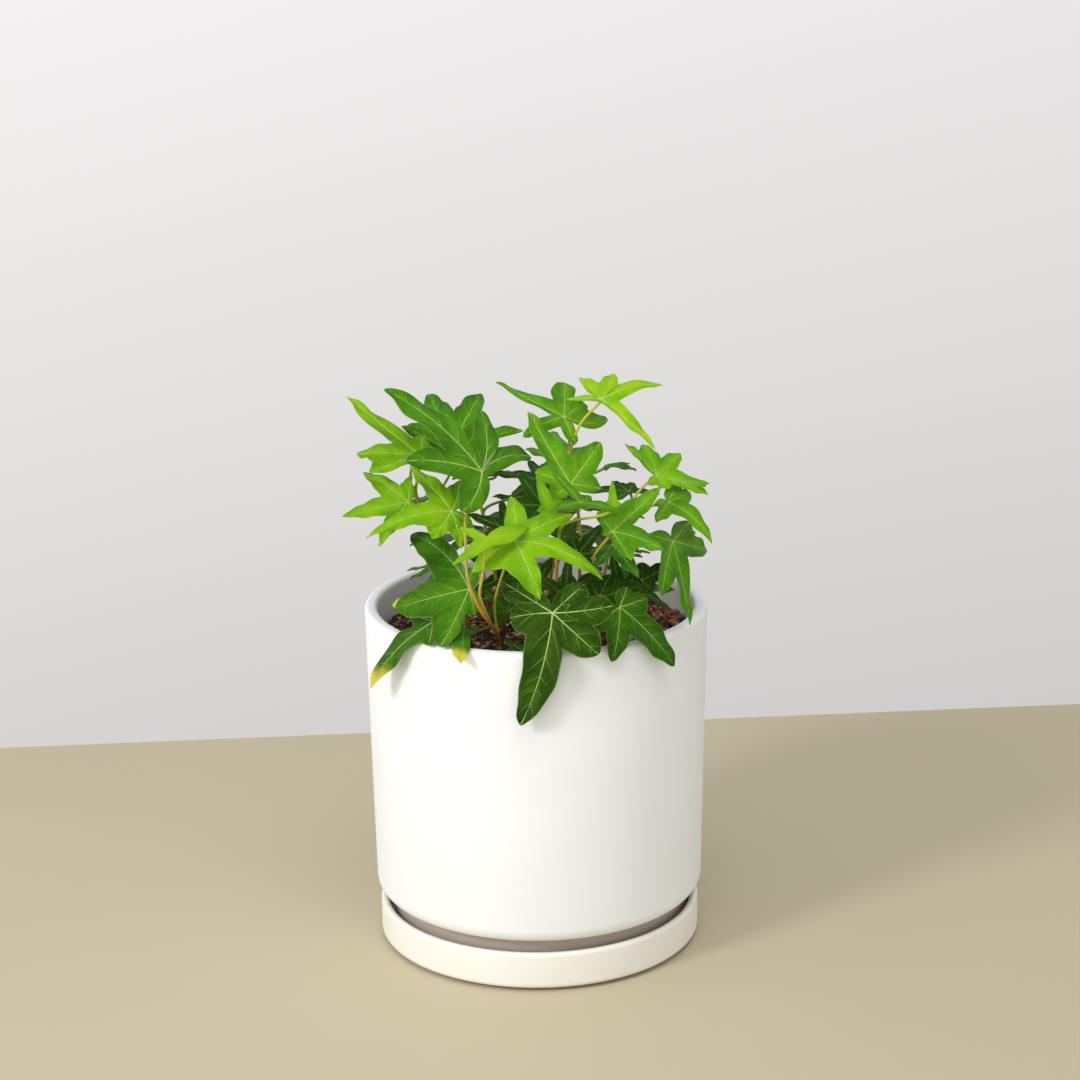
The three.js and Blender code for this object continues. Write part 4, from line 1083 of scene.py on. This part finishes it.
def grow_blades(name, sprouts, colours):
    """The blades of a shoot. They are made in mesh code, because each one's outline, folds and veins
    follow its own lobes: two skins with a thin margin, and ribs that stand out below."""
    points, faces, looks, maps, skins = [], [], [], [], []
    thickness = colours.thickness / MM
    for number, sprout in enumerate(sprouts):
        seat = np.array(sprout["seat"], float)
        chord = np.array(sprout["tip"], float) - seat
        local_tip = np.array([1, 0, -sprout["droop"]])
        scale = np.linalg.norm(chord) / np.linalg.norm(local_tip)
        seed = SEED_PER_LEAF * number + SEED_PER_MM * sprout["seat"][0]
        sheet, look, sides, places = blade_sheet(sprout, scale, colours.grid / MM, seed)
        move = axes(local_tip, np.array([0.0, 0, 1])).T @ axes(chord, facing(sprout["face"]))
        placed = scale * sheet @ move + seat
        normals = vertex_normals(placed, sides)
        thin = (0.5 * thickness * (1 - MARGIN_THIN * look[:, 4] ** 4))[:, None]
        rib = look[:, 3][:, None]
        first, count = len(points), len(placed)
        points.extend(placed + normals * (thin - CHANNEL * rib))
        points.extend(placed - normals * (thin + RIB_BELOW * scale * rib))
        looks.extend([*row[:3], 1] for row in np.vstack([look, look]))
        rims = {}
        for side, place in zip(sides, places):
            faces.append([first + i for i in side])
            faces.append([first + count + i for i in reversed(side)])
            maps.extend([*place, *reversed(place)])
            skins.extend([0, 1])
            for k in range(len(side)):
                after = (k + 1) % len(side)
                p, q = side[k], side[after]
                if (q, p) in rims:
                    del rims[(q, p)]
                else:
                    rims[(p, q)] = (place[k], place[after])
        for (p, q), (at_p, at_q) in rims.items():
            faces.append([first + q, first + p, first + count + p, first + count + q])
            maps.extend([at_q, at_p, at_p, at_q])
            skins.append(0)
    piece = mesh_object(name, points, faces=faces)
    mesh = piece.data
    for title, values in zip(("veins", "share"), zip(*maps)):
        mesh.uv_layers.new(name=title)
        mesh.uv_layers[title].data.foreach_set("uv", np.array(values, np.float32).ravel())
    paint(mesh, "leaf_look", "FLOAT_COLOR", "color", np.array(looks, np.float32).ravel())
    mesh.polygons.foreach_set("material_index", skins)
    return piece


class IVY_OT_shoots(bpy.types.Operator):
    """Grows the leafy shoots: stems, leaf stalks and blades"""
    bl_idname = "ivy.shoots"
    bl_label = "Shoots"

    def execute(self, context):
        colours = context.scene.ivy_leaves
        finishes = [
            ivy_blade("ivy_leaf_upper", colours, under=False),
            ivy_blade("ivy_leaf_under", colours, under=True),
            ivy_stem(),
        ]
        for plan in SHOOTS:
            self.grow(plan, colours, finishes)
        return {"FINISHED"}

    def grow(self, plan, colours, finishes):
        """One shoot as one piece."""
        name = plan["node"].replace("shoot", "ivy")
        x, y, z = plan["route"][0]
        ground = [(x, y, z + rise) for rise in (-STEM_ROOT_DEPTH, -STEM_PLUMB_BELOW, STEM_PLUMB_ABOVE)]
        knots = [np.array(point, float) for point in (*ground, *plan["route"][1:])]
        shares = [i / STEM_STEPS for i in range(STEM_STEPS + 1)]
        stem = [catmull_rom(knots, share) for share in shares]
        thick = colours.stem_radius / MM
        radii = [thick * (1 - STEM_TAPER * share) for share in shares]
        rods = [round_rod(name + "_stem", stem, radii, (0, 0, 0, 1))]
        slim = colours.stalk_radius / MM
        middle = STALK_STEPS / 2
        radii = [slim * (1 + STALK_FLARE * abs(i / middle - 1) ** 4) for i in range(STALK_STEPS + 1)]
        for sprout in plan["leaves"]:
            line = stalk_line(knots[2:], sprout, STALK_STEPS)
            rods.append(round_rod(name + "_stalk", line, radii, (1, sprout["tone"], 0, 1)))
        piece = grow_blades(name, plan["leaves"], colours)
        for part in (*rods, piece):
            for finish in finishes:
                part.data.materials.append(finish)
        for rod in rods:
            rod.data.polygons.foreach_set("material_index", [2] * len(rod.data.polygons))
        only(piece)
        for rod in rods:
            rod.select_set(True)
        bpy.ops.object.join()
        bpy.ops.object.shade_smooth_by_angle(angle=math.radians(LEAF_CREASE))
        finish_piece(piece, plan["node"])


class IVY_OT_stage(bpy.types.Operator):
    """Sets the table, the soft light and the camera"""
    bl_idname = "ivy.stage"
    bl_label = "Stage"

    def execute(self, context):
        self.lay_table(context.scene.ivy_stage)
        self.light(context.scene, context.scene.ivy_stage)
        self.place_camera(context.scene)
        return {"FINISHED"}

    def lay_table(self, stage):
        """A plain pale tabletop."""
        turn = math.radians(TABLE_TURN)
        back = Vector((*TABLE_EDGE, 0)) * MM
        away = Vector((math.sin(turn), -math.cos(turn), 0)) * (TABLE_SIZE * MM / 2)
        bpy.ops.mesh.primitive_plane_add(size=TABLE_SIZE * MM, location=back + away,
                                         rotation=(0, 0, turn))
        table = bpy.context.object
        table.name = "table"
        bpy.ops.object.transform_apply(location=True, rotation=True, scale=True)
        material, tree = new_material("painted_board")
        cloud = add(tree, "TexNoise", {"Vector": object_mm(tree), "Scale": 1 / 90})
        tone = add(tree, "Mix", {
            "A": stage.table, "B": [0.96 * c for c in stage.table], "Factor": cloud}, data_type="RGBA")
        shader = add(tree, "BsdfPrincipled", {"Base Color": tone, "Roughness": 0.7})
        table.data.materials.append(surfaced(material, shader))

    def light(self, scene, stage):
        """A small softbox at the front left, a larger one overhead, and pale walls all around."""
        for name, place, side, power in (
                ("softbox", SOFTBOX_PLACE, SOFTBOX_SIDE, stage.key_power),
                ("top_softbox", TOP_SOFTBOX_PLACE, TOP_SOFTBOX_SIDE, stage.top_power)):
            bpy.ops.object.light_add(type="AREA", location=place)
            lamp = bpy.context.object
            lamp.name = name
            lamp.data.shape = "SQUARE"
            lamp.data.size = side
            lamp.data.energy = power
            aim = Vector(LIGHT_AIM) - Vector(place)
            lamp.rotation_euler = aim.to_track_quat("-Z", "Y").to_euler()
        world = bpy.data.worlds.new("pale_studio")
        scene.world = world
        world.use_nodes = True
        tree = world.node_tree
        tree.nodes.clear()
        way = add(tree, "SeparateXYZ", {"Vector": add(tree, "TexCoord")}).outputs
        low = add(tree, "MapRange", {"Value": way["Z"], "From Min": -0.4, "From Max": 0.6})
        wall = add(tree, "ValToRGB", {"Fac": low}, stops=[
            (0.04, srgb("#d2cfcd")), (0.18, srgb("#e3e1e0")), (0.32, srgb("#f1efef")),
            (0.45, srgb("#f1efef"))])
        # The back wall falls off towards the right, the room behind the camera is brighter, and the
        # ceiling is dimmer than the walls
        across = add(tree, "MapRange", {
            "Value": way["X"], "From Min": -0.4, "From Max": 0.8, "To Min": 1.08, "To Max": 0.78})
        room = add(tree, "MapRange", {
            "Value": way["Y"], "From Min": 0.4, "From Max": -0.4, "To Min": 1.0,
            "To Max": stage.room}, interpolation_type="SMOOTHSTEP")
        around = add(tree, "Math", {0: across, 1: room}, operation="MULTIPLY")
        ceiling = add(tree, "MapRange", {
            "Value": way["Z"], "From Min": 0.2, "From Max": 0.7, "To Min": 1.0,
            "To Max": stage.ceiling})
        bright = add(tree, "Math", {0: around, 1: ceiling}, operation="MULTIPLY")
        shine = add(tree, "Background", {"Color": wall, "Strength": bright})
        add(tree, "OutputWorld", {"Surface": shine})

    def place_camera(self, scene):
        """The camera, level but for a slight roll."""
        rise = math.radians(CAMERA_ELEVATION)
        back = Vector((0, -math.cos(rise), math.sin(rise)))
        place = (Vector(CAMERA_TARGET) + CAMERA_DISTANCE * back) * MM
        bpy.ops.object.camera_add(location=place)
        camera = bpy.context.object
        upright = Matrix.Rotation(math.radians(90 - CAMERA_ELEVATION), 3, "X")
        roll = Matrix.Rotation(math.radians(CAMERA_ROLL), 3, "Z")
        camera.rotation_euler = (upright @ roll).to_euler()
        camera.data.lens = CAMERA_LENS
        camera.data.sensor_width = SENSOR_WIDTH
        scene.camera = camera
        scene.view_settings.view_transform = "Standard"


class IVY_PT_panel(bpy.types.Panel):
    bl_label = "Potted Ivy"
    bl_idname = "IVY_PT_panel"
    bl_space_type = "VIEW_3D"
    bl_region_type = "UI"
    bl_category = "Ivy"

    def draw(self, context):
        for name, (group, title, steps) in SETTINGS.items():
            box = self.layout.box()
            box.label(text=title)
            for key in group.__annotations__:
                box.prop(getattr(context.scene, name), key)
            for step in steps:
                box.operator(step.bl_idname)


SETTINGS = {
    "ivy_stage": (IVY_PG_stage, "Stage", (IVY_OT_stage,)),
    "ivy_ware": (IVY_PG_ware, "Pot and saucer", (IVY_OT_saucer, IVY_OT_pot)),
    "ivy_soil": (IVY_PG_soil, "Soil", (IVY_OT_soil,)),
    "ivy_leaves": (IVY_PG_leaves, "Leaves", (IVY_OT_shoots,)),
}


def register():
    """Registers the settings, the operators and the panel."""
    for name, (group, title, steps) in SETTINGS.items():
        bpy.utils.register_class(group)
        setattr(bpy.types.Scene, name, bpy.props.PointerProperty(type=group, name=title))
        for step in steps:
            bpy.utils.register_class(step)
    bpy.utils.register_class(IVY_PT_panel)


def unregister():
    """Takes them out again."""
    bpy.utils.unregister_class(IVY_PT_panel)
    for name, (group, _, steps) in SETTINGS.items():
        for step in steps:
            bpy.utils.unregister_class(step)
        delattr(bpy.types.Scene, name)
        bpy.utils.unregister_class(group)


def main():
    """Builds every piece in order."""
    register()
    bpy.ops.ivy.stage()
    bpy.ops.ivy.saucer()
    bpy.ops.ivy.pot()
    bpy.ops.ivy.soil()
    bpy.ops.ivy.shoots()
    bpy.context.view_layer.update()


if __name__ == "__main__":
    main()
